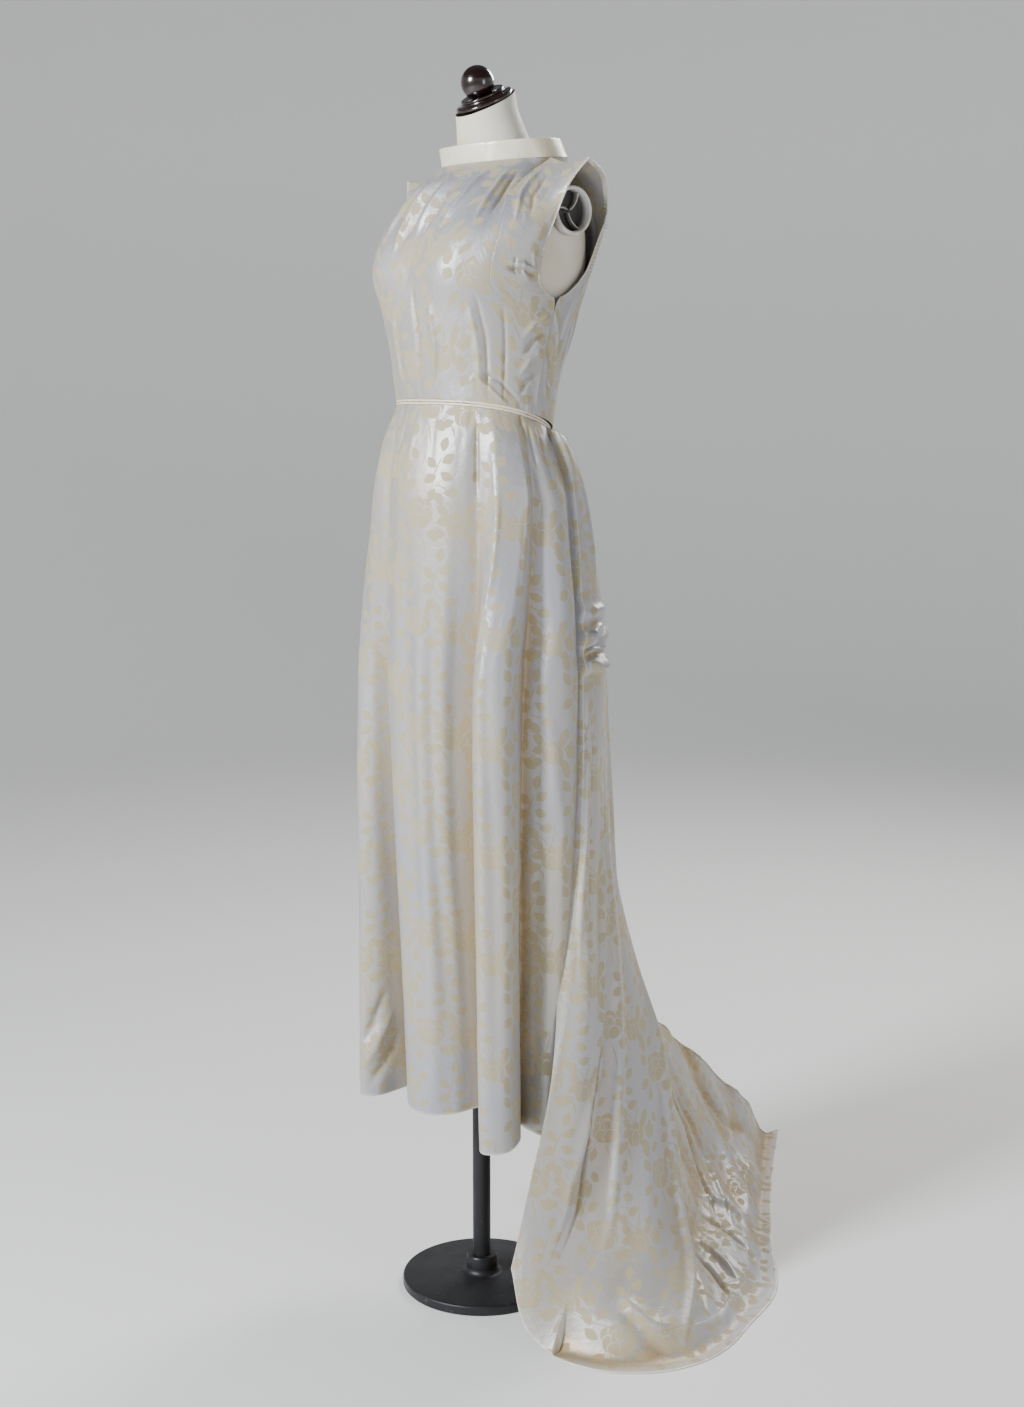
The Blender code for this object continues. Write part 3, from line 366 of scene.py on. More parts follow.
def grid_object(name, strips, look):
    vertices, faces, corners, folds, edges = [], [], [], [], []
    base = 0
    for part in strips:
        grid = part["points"]
        rows, columns = grid.shape[:2]
        across = part["left"].shape[1]
        r = np.arange(rows - 1)[:, None]
        c = np.arange(across)[None, :]
        after = (c + 1) % columns
        quads = [r * columns + c, (r + 1) * columns + c, (r + 1) * columns + after, r * columns + after]
        faces.append(base + np.stack(quads, axis=2).reshape(-1, 4))
        u = [part["left"][:-1], part["left"][1:], part["right"][1:], part["right"][:-1]]
        v = [part["v"][:-1, :across], part["v"][1:, :across], part["v"][1:, 1 : across + 1], part["v"][:-1, 1 : across + 1]]
        corners.append(np.stack([np.stack(u, axis=2), -np.stack(v, axis=2)], axis=3).reshape(-1, 2))
        vertices.append(grid.reshape(-1, 3))
        folds.append(part["fold"].ravel())
        edges.append(part["edge"].ravel())
        base += rows * columns
    mesh = bpy.data.meshes.new(name)
    mesh.from_pydata(np.concatenate(vertices).tolist(), [], np.concatenate(faces).tolist())
    mesh.uv_layers.new(name="flat").data.foreach_set("uv", np.concatenate(corners).astype(np.float32).ravel())
    for key, values in (("fold", folds), ("edge", edges)):
        layer = mesh.attributes.new(key, "FLOAT", "POINT")
        layer.data.foreach_set("value", np.concatenate(values).astype(np.float32))
    mesh.polygons.foreach_set("use_smooth", [True] * len(mesh.polygons))
    mesh.materials.append(look)
    made = bpy.data.objects.new(name, mesh)
    bpy.context.scene.collection.objects.link(made)
    if len(strips) > 1:
        body = bmesh.new()
        body.from_mesh(mesh)
        bmesh.ops.remove_doubles(body, verts=body.verts, dist=0.00002)
        body.to_mesh(mesh)
        body.free()
    return made


def turned_edge(edge, off, normals, flat_u, flat_v, sideways, radius=TURN_RADIUS):
    # Strip that carries an edge round into the wrong side, as a narrow turned hem
    angles = [math.radians(a) for a in (0, 36, 72, 108, 144, 180)]
    rows = [edge + off * radius * math.sin(a) - normals * radius * (1 - math.cos(a)) for a in angles]
    rows += [edge - normals * radius * 2.1 - off * reach for reach in (0.35 * TURN_DEPTH, TURN_DEPTH)]
    run = np.array([radius * a for a in angles] + [radius * math.pi + part * TURN_DEPTH for part in (0.35, 1.0)])
    if sideways:
        u = flat_u[None, :] + sideways * run[:, None]
        v = np.repeat(flat_v[None, :], len(rows), axis=0)
    else:
        u = np.repeat(flat_u[None, :], len(rows), axis=0)
        v = flat_v[None, :] + run[:, None]
    grid = np.array(rows)
    return strip(grid, u, v, edge=np.zeros(grid.shape[:2]))


def unit(vectors):
    return vectors / np.maximum(np.linalg.norm(vectors, axis=-1, keepdims=True), 1e-9)


def blurred(points, turns, closed=False):
    for _ in range(turns):
        side = "wrap" if closed else "edge"
        wide = np.pad(points, ((0, 0), (1, 1)) + ((0, 0),) * (points.ndim - 2), mode=side)
        points = 0.25 * wide[:, :-2] + 0.5 * points + 0.25 * wide[:, 2:]
        tall = np.pad(points, ((1, 1), (0, 0)) + ((0, 0),) * (points.ndim - 2), mode="edge")
        points = 0.25 * tall[:-2] + 0.5 * points + 0.25 * tall[2:]
    return points


def hollow_depth(points, normals, turns, closed=False):
    # How far each point lies behind the cloth round it; the damask's painted fold shade is taken from it
    return ((blurred(points, turns, closed) - points) * normals).sum(axis=2)


# Soft troughs and ridges, each along a short path on the cloth
def spot_on(a, b, s, d, column, row):
    c = np.interp(column, a, np.arange(len(a)))
    r = np.interp(row, b, np.arange(len(b)))
    c0, r0 = int(min(c, len(a) - 2)), int(min(r, len(b) - 2))
    fc, fr = c - c0, r - r0
    result = []
    for grid in (s, d):
        top = grid[r0, c0] * (1 - fc) + grid[r0, c0 + 1] * fc
        low = grid[r0 + 1, c0] * (1 - fc) + grid[r0 + 1, c0 + 1] * fc
        result.append(top * (1 - fr) + low * fr)
    return result


def crease_field(a, b, s, d, creases):
    total = np.zeros_like(s)
    for _, wide, high, sharp, path in creases:
        spots = np.array([spot_on(a, b, s, d, column, row) for column, row in path])
        runs = np.concatenate([[0.0], np.cumsum(np.linalg.norm(np.diff(spots, axis=0), axis=1))])
        nearest = np.full(s.shape, 1e9)
        place = np.zeros_like(s)
        for (s0, d0), (s1, d1), start in zip(spots, spots[1:], runs):
            length = math.hypot(s1 - s0, d1 - d0)
            run = np.clip(((s - s0) * (s1 - s0) + (d - d0) * (d1 - d0)) / length, 0.0, length)
            gap = np.hypot(s - s0 - (s1 - s0) * run / length, d - d0 - (d1 - d0) * run / length)
            closer = gap < nearest
            nearest = np.where(closer, gap, nearest)
            place = np.where(closer, (start + run) / runs[-1], place)
        swell = smooth_step(-0.02, 0.3, place) * (1 - smooth_step(0.7, 1.02, place))
        width = wide * (0.55 + 0.45 * swell)
        soft = np.exp(-((nearest / width) ** 2))
        crisp = np.exp(-nearest / width)
        total += high * swell * (soft * (1 - sharp) + crisp * sharp)
    return total


def ripple(s, d, across, down, high, seed, lean=0.0):
    return 2 * high * soft_noise((s + d * lean) / across, d / down, seed)


def crumple(s, d, size, high, seed):
    # Crisp broken creases, as in crushed silk
    total = np.zeros_like(s)
    for k, angle in enumerate((0.35, 1.75, 2.75)):
        x = (s * math.cos(angle) + d * math.sin(angle)) / size
        y = (-s * math.sin(angle) + d * math.cos(angle)) / (2.6 * size)
        total += 1 - np.minimum(np.abs(soft_noise(x, y, seed + k)) * 9, 1.0)
    return high * (total / 3 - 0.4)


# Skirt
def on_ellipse(degrees, half_width, half_depth, centre_y):
    angle = math.radians(degrees)
    return np.array([half_width * math.sin(angle), centre_y - half_depth * math.cos(angle)])


def waist_z(degrees):
    share = 0.5 - 0.5 * math.cos(math.radians(degrees))
    return WAIST_Z_FRONT + (WAIST_Z_BACK - WAIST_Z_FRONT) * share**1.5


def skirt_grid(samples, rows):
    share = np.linspace(0.0, 1.0, rows)
    grid = np.zeros((rows, len(samples), 3))
    for c, row in enumerate(samples):
        waist = on_ellipse(row[0], WAIST_HALF_WIDTH, WAIST_HALF_DEPTH, WAIST_CENTRE_Y)
        hip = on_ellipse(row[0], HIP_HALF_WIDTH, HIP_HALF_DEPTH, HIP_CENTRE_Y)
        knee = row[1:3]
        hem = row[3:5]
        top = waist_z(row[0]) - 2 * ROLL_RADIUS - SEAM_GAP
        heights = np.array([top, top - 0.055, HIP_Z, KNEE_Z, row[5]])
        depth = max(1.0 - math.hypot(knee[0] / FOLD_TIP_HALF_WIDTH, knee[1] / FOLD_TIP_HALF_DEPTH), 0.0)
        flare = (waist + (hip - waist) * 0.58) * (1 - FLARE_FOLD * depth)
        hip = hip * (1 - HIP_FOLD * depth)
        z = top + (row[5] - top) * share
        grid[:, c, :2] = along(-heights, np.array([waist, flare, hip, knee, hem]), -z)
        grid[:, c, 2] = z
    return grid

SKIRT_CREASES = (
    # name, half width, height, sharpness, path of (degrees at the waist, level from waist to hem)
    ("pleat_a_inner", 0.0030, -0.0030, 0.5, ((-62, 0.01), (-60, 0.08), (-61, 0.16))),
    ("pleat_a_outer", 0.0030, -0.0022, 0.4, ((-80, 0.01), (-78, 0.10))),
    ("gather_b_left", 0.0026, -0.0020, 0.4, ((-9, 0.00), (-8, 0.07))),
    ("gather_b_middle", 0.0030, 0.0018, 0.3, ((3, 0.00), (2, 0.11))),
    ("gather_b_right", 0.0026, -0.0022, 0.4, ((17, 0.00), (19, 0.09))),
    ("swell_b_left", 0.0160, 0.0042, 0.0, ((-4, 0.10), (-6, 0.45), (-5, 0.99))),
    ("dip_b", 0.0140, -0.0040, 0.0, ((4, 0.14), (6, 0.5), (8, 0.97))),
    ("swell_b_middle", 0.0150, 0.0038, 0.0, ((14, 0.16), (15, 0.6), (15, 1.0))),
    ("dip_b_right", 0.0110, -0.0034, 0.0, ((22, 0.2), (23, 0.55), (24, 0.9))),
    ("swell_b_right", 0.0110, 0.0030, 0.0, ((30, 0.12), (31, 0.6), (31, 0.95))),
    ("edge_b", 0.0040, 0.0024, 0.2, ((-13, 0.03), (-13, 0.5), (-13, 0.98))),
    ("recess_edge", 0.0035, -0.0045, 0.3, ((47, 0.01), (46, 0.05), (46, 0.12))),
    ("rim_c", 0.0040, 0.0030, 0.3, ((57, 0.03), (57, 0.12), (57, 0.4))),
    ("tuck_c", 0.0026, -0.0024, 0.5, ((80, 0.00), (81, 0.03))),
    ("dip_c", 0.0100, -0.0030, 0.0, ((66, 0.2), (67, 0.6), (67, 0.96))),
    ("tuck_d_front", 0.0030, -0.0026, 0.4, ((86, 0.01), (86, 0.07))),
    ("tuck_d_side", 0.0030, -0.0022, 0.4, ((94, 0.01), (95, 0.09))),
    ("swell_d", 0.0090, 0.0028, 0.0, ((94, 0.2), (93, 0.55), (92, 0.95))),
    ("crossing_a_upper", 0.0080, -0.0060, 0.2, ((-31, 0.84), (-38, 0.89), (-52, 0.93))),
    ("crossing_a_ridge", 0.0080, 0.0050, 0.1, ((-28, 0.87), (-36, 0.92), (-50, 0.97))),
    ("crossing_a_lower", 0.0070, -0.0050, 0.2, ((-26, 0.91), (-33, 0.955), (-44, 0.99))),
    ("right_hip_fold", 0.0120, 0.0040, 0.0, ((-100, 0.1), (-101, 0.5), (-99, 0.95))),
    ("right_hip_dip", 0.0090, -0.0036, 0.1, ((-92, 0.16), (-93, 0.6), (-92, 0.96))),
    ("right_cross", 0.0080, -0.0045, 0.2, ((-86, 0.86), (-95, 0.93))),
    ("back_swell_left", 0.0110, 0.0036, 0.0, ((136, 0.2), (136, 0.6), (135, 0.97))),
    ("back_dip", 0.0110, -0.0036, 0.0, ((173, 0.25), (174, 0.6), (172, 0.95))),
    ("back_swell_right", 0.0110, 0.0036, 0.0, ((224, 0.2), (224, 0.6), (223, 0.97))),
    ("back_cross", 0.0080, -0.0045, 0.2, ((200, 0.88), (215, 0.95))),
)
HEM_REACH = 0.20
GORES = (
    # name, from, to, middle: degrees at the waist; slip: how far the pattern is shifted
    ("right_back", -112, -82, -97, 0.31),
    ("right", -82, -21, -52, 0.12),
    ("front", -21, 46, 12, 0.0),
    ("left", 46, 81, 66, 0.55),
    ("left_back", 81, 112, 97, 0.83),
    ("back_left", 112, 154, 134, 0.41),
    ("back", 154, 206, 180, 0.27),
    ("back_right", 206, 248, 226, 0.68),
)


def skirt_fall(s, d, level):
    # Uneven hang of the cloth between the folds
    grown = smooth_step(0.03, 0.30, level)[:, None]
    low = smooth_step(0.70, 1.00, level)[:, None]
    out = ripple(s, d, 0.060, 0.50, 0.0024, 3) * grown
    out += ripple(s, d, 0.024, 0.20, 0.0009, 5, 0.04) * grown
    out += ripple(s, d, 0.045, 0.055, 0.0009, 8) * low
    gather = np.exp(-level / 0.045)[:, None] * smooth_step(0.0, 0.012, level)[:, None]
    return out + ripple(s, d, 0.0085, 0.060, 0.0016, 11) * gather


def build_skirt(look):
    ring = list(SKIRT_FOLDS) + list(BACK_FOLDS)
    closing = (SKIRT_FOLDS[0][0], SKIRT_FOLDS[0][1] + 360) + SKIRT_FOLDS[0][2:]
    steps = 10
    samples = through_rows([fold[1:] for fold in ring + [closing]], steps)
    rows = 240
    inner = skirt_grid(samples, rows)
    level = np.linspace(0.0, 1.0, rows)
    degrees = samples[:, 0]
    s, d = lay_flat(inner, int(np.argmin(np.abs(degrees - 9))))
    out = crease_field(degrees, level, s, d, SKIRT_CREASES) + skirt_fall(s, d, level)
    out[:, -1] = out[:, 0]
    normals = grid_normals(inner[:, :-1], True)
    normals = np.concatenate([normals, normals[:, :1]], axis=1)
    face = inner + normals * (FACE_OUT + out)[:, :, None]
    face[0, :, 2] = inner[0, :, 2]
    face[-1, :, 2] = inner[-1, :, 2]
    normals = grid_normals(face[:, :-1], True)
    depth = hollow_depth(face[:, :-1], normals, 160, True)
    depth = np.concatenate([depth, depth[:, :1]], axis=1)
    fold = np.clip(depth / 0.0065, 0.0, 1.0)
    s, d = lay_flat(face, 0)
    left = np.zeros((rows, len(degrees) - 1))
    right = np.zeros_like(left)
    middles = 0.5 * (degrees[1:] + degrees[:-1])
    for _, first, last, grain, slip in GORES:
        mine = (middles >= first) & (middles < last)
        centre = s[:, [int(np.argmin(np.abs(degrees - grain)))]]
        left[:, mine] = (s[:, :-1] - centre)[:, mine] + slip
        right[:, mine] = (s[:, 1:] - centre)[:, mine] + slip
    split = (len(SKIRT_FOLDS) - 1) * steps
    made = []
    for name, first, last in (("skirt_front", 0, split), ("skirt_back", split, face.shape[1] - 1)):
        span = slice(first, last + 1)
        part = face[:, span]
        down = unit(part[-1] - part[-2])
        out = unit(np.cross(down, np.gradient(part[-1], axis=0)))
        edge = np.clip((d[-1:] - d)[:, span], 0.0, HEM_REACH)
        main = strip(part, s[:, span], d[:, span], fold[:, span], edge, left=left[:, first:last], right=right[:, first:last])
        hem = turned_edge(part[-1], down, out, s[-1, span], d[-1, span], 0)
        made.append(grid_object(name + "_cloth", [main, hem], look))
    return made


# Bodice
def collar_spot(degrees, height, out):
    angle = math.radians(degrees)
    x = (COLLAR_HALF_WIDTH + out) * math.sin(angle)
    y = COLLAR_CENTRE_Y - (COLLAR_HALF_DEPTH + out) * math.cos(angle)
    share = (y - COLLAR_CENTRE_Y + COLLAR_HALF_DEPTH) / (2 * COLLAR_HALF_DEPTH)
    z = COLLAR_FOOT_Z_FRONT + (COLLAR_FOOT_Z_BACK - COLLAR_FOOT_Z_FRONT) * share + height
    return np.array([x, y, z])


def bodice_top(u, back):
    # Neckline from the centre to the neck side, then the shoulder seam out to its point
    if u <= 0.5:
        degrees = 90 * (u / 0.5)
        return collar_spot(180 - degrees if back else degrees, -COLLAR_GAP, 0.0)
    neck = collar_spot(90, -COLLAR_GAP, 0.0)
    tip = np.array([SHOULDER_X, SHOULDER_Y, SHOULDER_Z])
    share = (u - 0.5) / 0.5
    spot = neck * (1 - share) + tip * share
    spot[2] -= SHOULDER_SAG * math.sin(math.pi * share)
    return spot


def bodice_side(back, side, rows, columns):
    row = np.linspace(1.0, 0.0, rows)
    u = np.linspace(0.0, 1.0, columns)
    table = np.array(BODICE_SECTIONS)
    middle = along(table[:, 0], table[:, 3:5] if back else table[:, 1:3], row)
    edges = np.array(BACK_EDGE if back else FRONT_EDGE)
    edge = along(edges[:, 0], edges[:, 1:4], row)
    sine = np.sin(u * math.pi / 2)[None, :] ** 0.94
    cosine = np.maximum(np.cos(u * math.pi / 2), 0.0)[None, :]
    x = edge[:, :1] * sine
    y = edge[:, 1:2] + (middle[:, :1] - edge[:, 1:2]) * cosine**0.94
    z = edge[:, 2:3] + (middle[:, 1:2] - edge[:, 2:3]) * cosine**1.4
    grid = np.stack([x, y, z], axis=2)
    top = np.array([bodice_top(share, back) for share in u])
    pull = smooth_step(0.72, 1.0, row)[:, None, None]
    grid = grid + pull * (top - grid[0])[None]
    if not back:
        wide = (grid[:, :, 0] - BUST_X) / BUST_WIDE
        tall = (grid[:, :, 2] - BUST_Z) / BUST_TALL
        grid[:, :, 1] -= BUST_OUT * np.exp(-(wide**2) - tall**2)
    grid[:, :, 0] *= side
    return grid


def lower_edge(spot):
    forward = (WAIST_CENTRE_Y - spot[1]) / WAIST_HALF_DEPTH
    degrees = math.degrees(math.atan2(spot[0] / WAIST_HALF_WIDTH, forward))
    return waist_z(degrees) + 2 * ROLL_RADIUS + SEAM_GAP

FRONT_CREASES = (
    # name, half width, height, sharpness, path of (share from centre front, minus to the right; row from waist up)
    ("drag_collar_a", 0.0050, 0.0042, 0.3, ((-0.02, 0.955), (-0.10, 0.84), (-0.17, 0.68))),
    ("drag_collar_a_under", 0.0042, -0.0036, 0.3, ((0.03, 0.95), (-0.04, 0.83), (-0.10, 0.70))),
    ("drag_collar_b", 0.0050, 0.0036, 0.3, ((0.10, 0.96), (0.04, 0.84), (-0.02, 0.72))),
    ("drag_collar_b_under", 0.0040, -0.0030, 0.3, ((0.16, 0.955), (0.11, 0.85), (0.05, 0.73))),
    ("drag_collar_c", 0.0055, 0.0038, 0.2, ((-0.12, 0.96), (-0.22, 0.85), (-0.30, 0.72))),
    ("drag_collar_d", 0.0050, 0.0034, 0.3, ((-0.24, 0.96), (-0.36, 0.86), (-0.44, 0.74))),
    ("drag_collar_d_under", 0.0040, -0.0030, 0.3, ((-0.18, 0.96), (-0.30, 0.86), (-0.37, 0.76))),
    ("drag_collar_e", 0.0045, 0.0030, 0.3, ((0.24, 0.955), (0.22, 0.85), (0.17, 0.74))),
    ("drag_left_neck", 0.0045, 0.0032, 0.3, ((0.34, 0.955), (0.38, 0.86), (0.40, 0.76))),
    ("drag_left_neck_under", 0.0036, -0.0026, 0.3, ((0.40, 0.95), (0.45, 0.87), (0.48, 0.78))),
    ("drag_shoulder", 0.0040, 0.0028, 0.3, ((0.56, 0.955), (0.60, 0.86), (0.68, 0.76))),
    ("drag_shoulder_under", 0.0034, -0.0024, 0.4, ((0.66, 0.95), (0.70, 0.86), (0.78, 0.78))),
    ("bust_dart_left", 0.0022, -0.0030, 0.6, ((1.0, 0.585), (0.86, 0.602), (0.70, 0.615))),
    ("bust_dart_left_lip", 0.0034, 0.0022, 0.4, ((1.0, 0.605), (0.86, 0.622), (0.72, 0.632))),
    ("dart_crinkle_a", 0.0024, 0.0018, 0.5, ((0.90, 0.57), (0.86, 0.60), (0.85, 0.64))),
    ("dart_crinkle_b", 0.0024, -0.0018, 0.5, ((0.80, 0.58), (0.78, 0.61), (0.78, 0.66))),
    ("dart_crinkle_c", 0.0022, 0.0016, 0.5, ((0.97, 0.60), (0.93, 0.64), (0.92, 0.68))),
    ("bust_dart_right", 0.0022, -0.0028, 0.6, ((-1.0, 0.585), (-0.86, 0.602), (-0.72, 0.612))),
    ("under_bust_left", 0.0024, -0.0022, 0.6, ((0.50, 0.55), (0.56, 0.34), (0.60, 0.02))),
    ("under_bust_left_lip", 0.0050, 0.0020, 0.1, ((0.45, 0.52), (0.50, 0.34), (0.54, 0.06))),
    ("under_bust_left_b", 0.0024, -0.0018, 0.6, ((0.66, 0.50), (0.70, 0.30), (0.72, 0.02))),
    ("under_bust_right", 0.0024, -0.0022, 0.6, ((-0.46, 0.54), (-0.52, 0.34), (-0.56, 0.02))),
    ("under_bust_right_b", 0.0024, -0.0018, 0.6, ((-0.64, 0.50), (-0.68, 0.30), (-0.70, 0.02))),
    ("middle_fold_a", 0.0050, 0.0024, 0.1, ((0.18, 0.52), (0.20, 0.30), (0.16, 0.05))),
    ("middle_fold_b", 0.0044, -0.0022, 0.2, ((0.03, 0.60), (0.06, 0.35), (0.04, 0.06))),
    ("middle_fold_c", 0.0046, 0.0022, 0.2, ((-0.14, 0.50), (-0.18, 0.26), (-0.16, 0.04))),
    ("waist_drag_a", 0.0036, 0.0020, 0.4, ((0.80, 0.03), (0.62, 0.10), (0.44, 0.12))),
    ("waist_drag_b", 0.0034, -0.0020, 0.4, ((0.86, 0.07), (0.68, 0.15), (0.50, 0.18))),
    ("side_crinkle_a", 0.0034, 0.0024, 0.4, ((1.0, 0.44), (0.88, 0.40), (0.80, 0.34))),
    ("side_crinkle_b", 0.0030, -0.0024, 0.4, ((1.0, 0.38), (0.90, 0.34), (0.83, 0.27))),
    ("side_crinkle_c", 0.0034, 0.0022, 0.4, ((1.0, 0.31), (0.89, 0.26), (0.82, 0.18))),
    ("side_crinkle_d", 0.0030, -0.0022, 0.4, ((1.0, 0.22), (0.90, 0.17), (0.84, 0.09))),
    ("side_crinkle_right_a", 0.0034, 0.0024, 0.4, ((-1.0, 0.42), (-0.88, 0.37), (-0.80, 0.29))),
    ("side_crinkle_right_b", 0.0030, -0.0022, 0.4, ((-1.0, 0.30), (-0.90, 0.24), (-0.82, 0.17))),
    ("drag_right_shoulder", 0.0042, 0.0030, 0.3, ((-0.58, 0.955), (-0.62, 0.86), (-0.66, 0.74))),
    ("drag_right_shoulder_b", 0.0036, -0.0026, 0.3, ((-0.70, 0.95), (-0.72, 0.86), (-0.78, 0.76))),
)
BACK_CREASES = (
    ("back_line_left_a", 0.0050, 0.0034, 0.2, ((0.30, 0.93), (0.26, 0.60), (0.28, 0.20))),
    ("back_line_left_b", 0.0040, -0.0034, 0.3, ((0.42, 0.90), (0.38, 0.55), (0.42, 0.10))),
    ("back_line_left_c", 0.0044, 0.0032, 0.2, ((0.58, 0.88), (0.52, 0.60), (0.56, 0.25))),
    ("back_line_left_d", 0.0036, -0.0030, 0.3, ((0.74, 0.80), (0.68, 0.55), (0.70, 0.15))),
    ("back_line_left_e", 0.0036, 0.0028, 0.3, ((0.86, 0.60), (0.82, 0.42), (0.85, 0.18))),
    ("back_side_a", 0.0032, 0.0026, 0.4, ((1.0, 0.46), (0.90, 0.36), (0.84, 0.22))),
    ("back_side_b", 0.0030, -0.0024, 0.4, ((1.0, 0.34), (0.91, 0.24), (0.86, 0.10))),
    ("back_middle_line", 0.0016, -0.0012, 0.6, ((0.0, 0.99), (0.0, 0.5), (0.0, 0.01))),
    ("back_line_right_a", 0.0050, 0.0034, 0.2, ((-0.28, 0.92), (-0.25, 0.58), (-0.30, 0.16))),
    ("back_line_right_b", 0.0040, -0.0032, 0.3, ((-0.44, 0.90), (-0.40, 0.50), (-0.44, 0.10))),
    ("back_line_right_c", 0.0044, 0.0030, 0.2, ((-0.60, 0.86), (-0.54, 0.55), (-0.58, 0.20))),
    ("back_line_right_d", 0.0036, -0.0028, 0.3, ((-0.78, 0.74), (-0.72, 0.5), (-0.76, 0.14))),
    ("back_yoke_left", 0.0050, 0.0030, 0.3, ((0.12, 0.95), (0.24, 0.82), (0.40, 0.72))),
    ("back_yoke_right", 0.0050, 0.0028, 0.3, ((-0.10, 0.95), (-0.22, 0.83), (-0.36, 0.74))),
)
PUCKER_STEP = 0.0058


def bodice_fall(s, d, row, far):
    # Fine crumples of the bodice: finest at the waist and the armholes
    low = np.exp(-row / 0.10)[:, None] * smooth_step(0.0, 0.03, row)[:, None]
    mid = (smooth_step(0.02, 0.12, row) * (1 - smooth_step(0.90, 0.99, row)))[:, None]
    out = ripple(s, d, 0.030, 0.055, 0.0011, 21, 0.3) * mid
    out += ripple(s, d, 0.0075, 0.035, 0.0010, 23) * low
    out += crumple(s, d, 0.030, 0.0011, 31) * mid * (0.35 + 0.65 * smooth_step(0.55, 0.95, far))
    return out


def eased(inner, row):
    # Rounds the corners that the sparse rows of the table leave down the bodice
    soft = inner
    for _ in range(EASE_TURNS):
        tall = np.pad(soft, ((1, 1), (0, 0), (0, 0)), mode="edge")
        soft = 0.25 * tall[:-2] + 0.5 * soft + 0.25 * tall[2:]
    share = (smooth_step(0.01, 0.07, row) * (1 - smooth_step(0.94, 0.985, row)))[:, None, None]
    return inner + (soft - inner) * share


EASE_TURNS = 40
CREASE_GAIN = 1.7
SIDE_TALL = 0.50
SCOOP_TALL = 0.012
SCOOP = 0.007


def build_bodice(look):
    rows = 180
    columns = 96
    made = []
    for name, back, creases in (("bodice_front", False, FRONT_CREASES), ("bodice_back", True, BACK_CREASES)):
        right = bodice_side(back, -1, rows, columns)[:, ::-1]
        left = bodice_side(back, 1, rows, columns)
        inner = np.concatenate([right[:, :-1], left], axis=1)
        share = np.linspace(-1.0, 1.0, inner.shape[1])
        row = np.linspace(1.0, 0.0, rows)
        inner = eased(inner, row)
        above = np.clip(row - UNDERARM_ROW, 0.0, 1.0)[:, None] * SIDE_TALL / SCOOP_TALL
        scoop = SCOOP * np.sqrt(above) * np.exp(0.5 * (1 - above)) * smooth_step(0.72, 1.0, np.abs(share))[None, :]
        inner[:, :, 1] += scoop if back else -scoop
        s, d = lay_flat(inner, columns - 1)
        out = crease_field(share, 1 - row, s, d, [c[:4] + ([(a, 1 - b) for a, b in c[4]],) for c in creases])
        out = CREASE_GAIN * out * (smooth_step(0.0, 0.02, row) * (1 - smooth_step(0.965, 0.995, row)))[:, None]
        out += bodice_fall(s, d, row, np.abs(share)[None, :])
        free = (row >= UNDERARM_ROW)[:, None]
        reach = np.minimum(s - s[:, :1], s[:, -1:] - s)
        near = np.where(free, np.exp(-reach / 0.0045), 0.0)
        out = out * (1 - 0.8 * np.exp(-reach / 0.004))
        out += 0.00050 * near * np.sin(2 * math.pi * d / PUCKER_STEP)
        if back:
            inner, s, d, out, reach = (grid[:, ::-1] for grid in (inner, s, d, out, reach))
        normals = grid_normals(inner)
        face = inner + normals * (FACE_OUT + out)[:, :, None]
        for end in (0, -1):
            below = row < UNDERARM_ROW
            face[below, end] = inner[below, end] + np.array([math.copysign(FACE_OUT, inner[-1, end, 0]), 0.0, 0.0])
        face[-1, :, 2] = [lower_edge(spot) for spot in inner[-1]]
        normals = grid_normals(face)
        fold = np.clip(hollow_depth(face, normals, 30) / 0.0022, 0.0, 1.0) * 0.6
        edge = np.where(free, np.clip(reach, 0.0, HEM_REACH), HEM_REACH)
        u = -s if back else s
        strips = [strip(face, u, d, fold, edge)]
        for end, step in ((0, 1), (-1, -1)):
            keep = row >= UNDERARM_ROW - 0.006
            line = face[keep, end]
            off = unit(line - face[keep, end + step])
            strips.append(turned_edge(line, off, normals[keep, end], u[keep, end], d[keep, end], -step))
            ARMHOLE_LINES.append((line, off, normals[keep, end]))
        made.append(grid_object(name + "_cloth", strips, look))
    return made


ARMHOLE_LINES = []
STITCH_STEP = 0.0042
STITCH_LENGTH = 0.0030
STITCH_RADIUS = 0.00022


